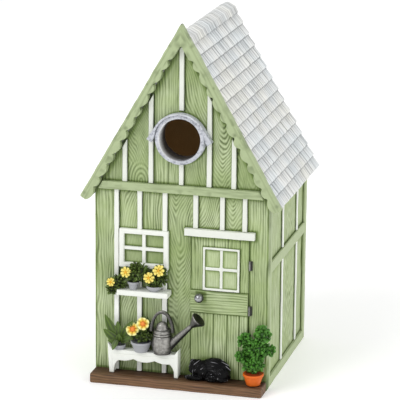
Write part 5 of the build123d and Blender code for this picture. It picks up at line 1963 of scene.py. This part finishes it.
class BIRDHOUSE_OT_stage(bpy.types.Operator):
    """Pale floor, soft light and the camera"""

    bl_idname = "birdhouse.stage"
    bl_label = "Stage"

    def execute(self, context):
        studio = context.scene.birdhouse_studio
        floor = primitive("plane", size=FLOOR_SIZE, location=(0, 0, 0))
        floor.name = "floor"
        pale = Paint("floor_white", 0.9)
        pale.colour(grey(0.93))
        pale.shader.inputs["Emission Color"].default_value = (1, 1, 1, 1)
        pale.shader.inputs["Emission Strength"].default_value = FLOOR_GLOW
        floor.data.materials.append(pale.material)

        yaw, pitch, roll = studio.yaw, studio.pitch, studio.roll
        back = Vector((math.sin(yaw) * math.cos(pitch), -math.cos(yaw) * math.cos(pitch), math.sin(pitch)))
        right = Vector((math.cos(yaw), math.sin(yaw), 0))
        up = back.cross(right)
        tilted_right = right * math.cos(roll) + up * math.sin(roll)
        tilted_up = up * math.cos(roll) - right * math.sin(roll)
        camera = linked("camera", bpy.data.cameras.new("camera"))
        camera.data.lens = studio.lens
        camera.data.sensor_width = 36
        turn = Matrix((tilted_right, tilted_up, back)).transposed().to_4x4()
        camera.matrix_world = Matrix.Translation(CAMERA_AIM + back * studio.distance) @ turn
        context.scene.camera = camera

        for name, power, size, place in (
            ("key_light", studio.key, 0.9, (-0.75, -1.05, 1.25)),
            ("fill_light", studio.fill, 1.2, (1.3, -0.6, 0.7)),
            ("rear_light", studio.rear, 1.2, (0.2, 1.3, 0.9)),
        ):
            light = bpy.data.lights.new(name, "AREA")
            light.energy = power
            light.size = size
            lamp = linked(name, light)
            lamp.location = place
            lamp.rotation_euler = (LIGHT_AIM - Vector(place)).to_track_quat("-Z", "Y").to_euler()

        world = bpy.data.worlds.new("white_surround")
        world.use_nodes = True
        surround = world.node_tree.nodes["Background"]
        surround.inputs["Color"].default_value = (1, 1, 1, 1)
        surround.inputs["Strength"].default_value = studio.sky
        context.scene.world = world
        context.scene.view_settings.view_transform = "Standard"
        return {"FINISHED"}


OPERATORS = [
    BIRDHOUSE_OT_front_wall, BIRDHOUSE_OT_side_walls, BIRDHOUSE_OT_back_wall, BIRDHOUSE_OT_side_frames,
    BIRDHOUSE_OT_porch, BIRDHOUSE_OT_gable_trim, BIRDHOUSE_OT_white_trim, BIRDHOUSE_OT_door,
    BIRDHOUSE_OT_entrance, BIRDHOUSE_OT_roof, BIRDHOUSE_OT_pots, BIRDHOUSE_OT_foliage,
    BIRDHOUSE_OT_hosta, BIRDHOUSE_OT_flowers, BIRDHOUSE_OT_watering_can, BIRDHOUSE_OT_cat,
    BIRDHOUSE_OT_hardware, BIRDHOUSE_OT_stage,
]


class BIRDHOUSE_PT_panel(bpy.types.Panel):
    """The birdhouse's operators, in the order that they are made"""

    bl_idname = "BIRDHOUSE_PT_panel"
    bl_label = "Birdhouse"
    bl_space_type = "VIEW_3D"
    bl_region_type = "UI"
    bl_category = "Birdhouse"

    def draw(self, context):
        for operator in OPERATORS:
            self.layout.operator(operator.bl_idname)


GROUPS = {
    "birdhouse_paint": BirdhousePaint,
    "birdhouse_carving": BirdhouseCarving,
    "birdhouse_studio": BirdhouseStudio,
}
CLASSES = [*GROUPS.values(), *OPERATORS, BIRDHOUSE_PT_panel]


def register():
    """Add the classes and the settings to Blender."""
    for part in CLASSES:
        bpy.utils.register_class(part)
    for name, group in GROUPS.items():
        setattr(bpy.types.Scene, name, bpy.props.PointerProperty(type=group))


def unregister():
    """Take the settings and the classes out again."""
    for name in GROUPS:
        delattr(bpy.types.Scene, name)
    for part in reversed(CLASSES):
        bpy.utils.unregister_class(part)


def main():
    """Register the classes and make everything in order."""
    register()
    for operator in OPERATORS:
        area, name = operator.bl_idname.split(".")
        getattr(getattr(bpy.ops, area), name)()


if __name__ == "__main__":
    main()
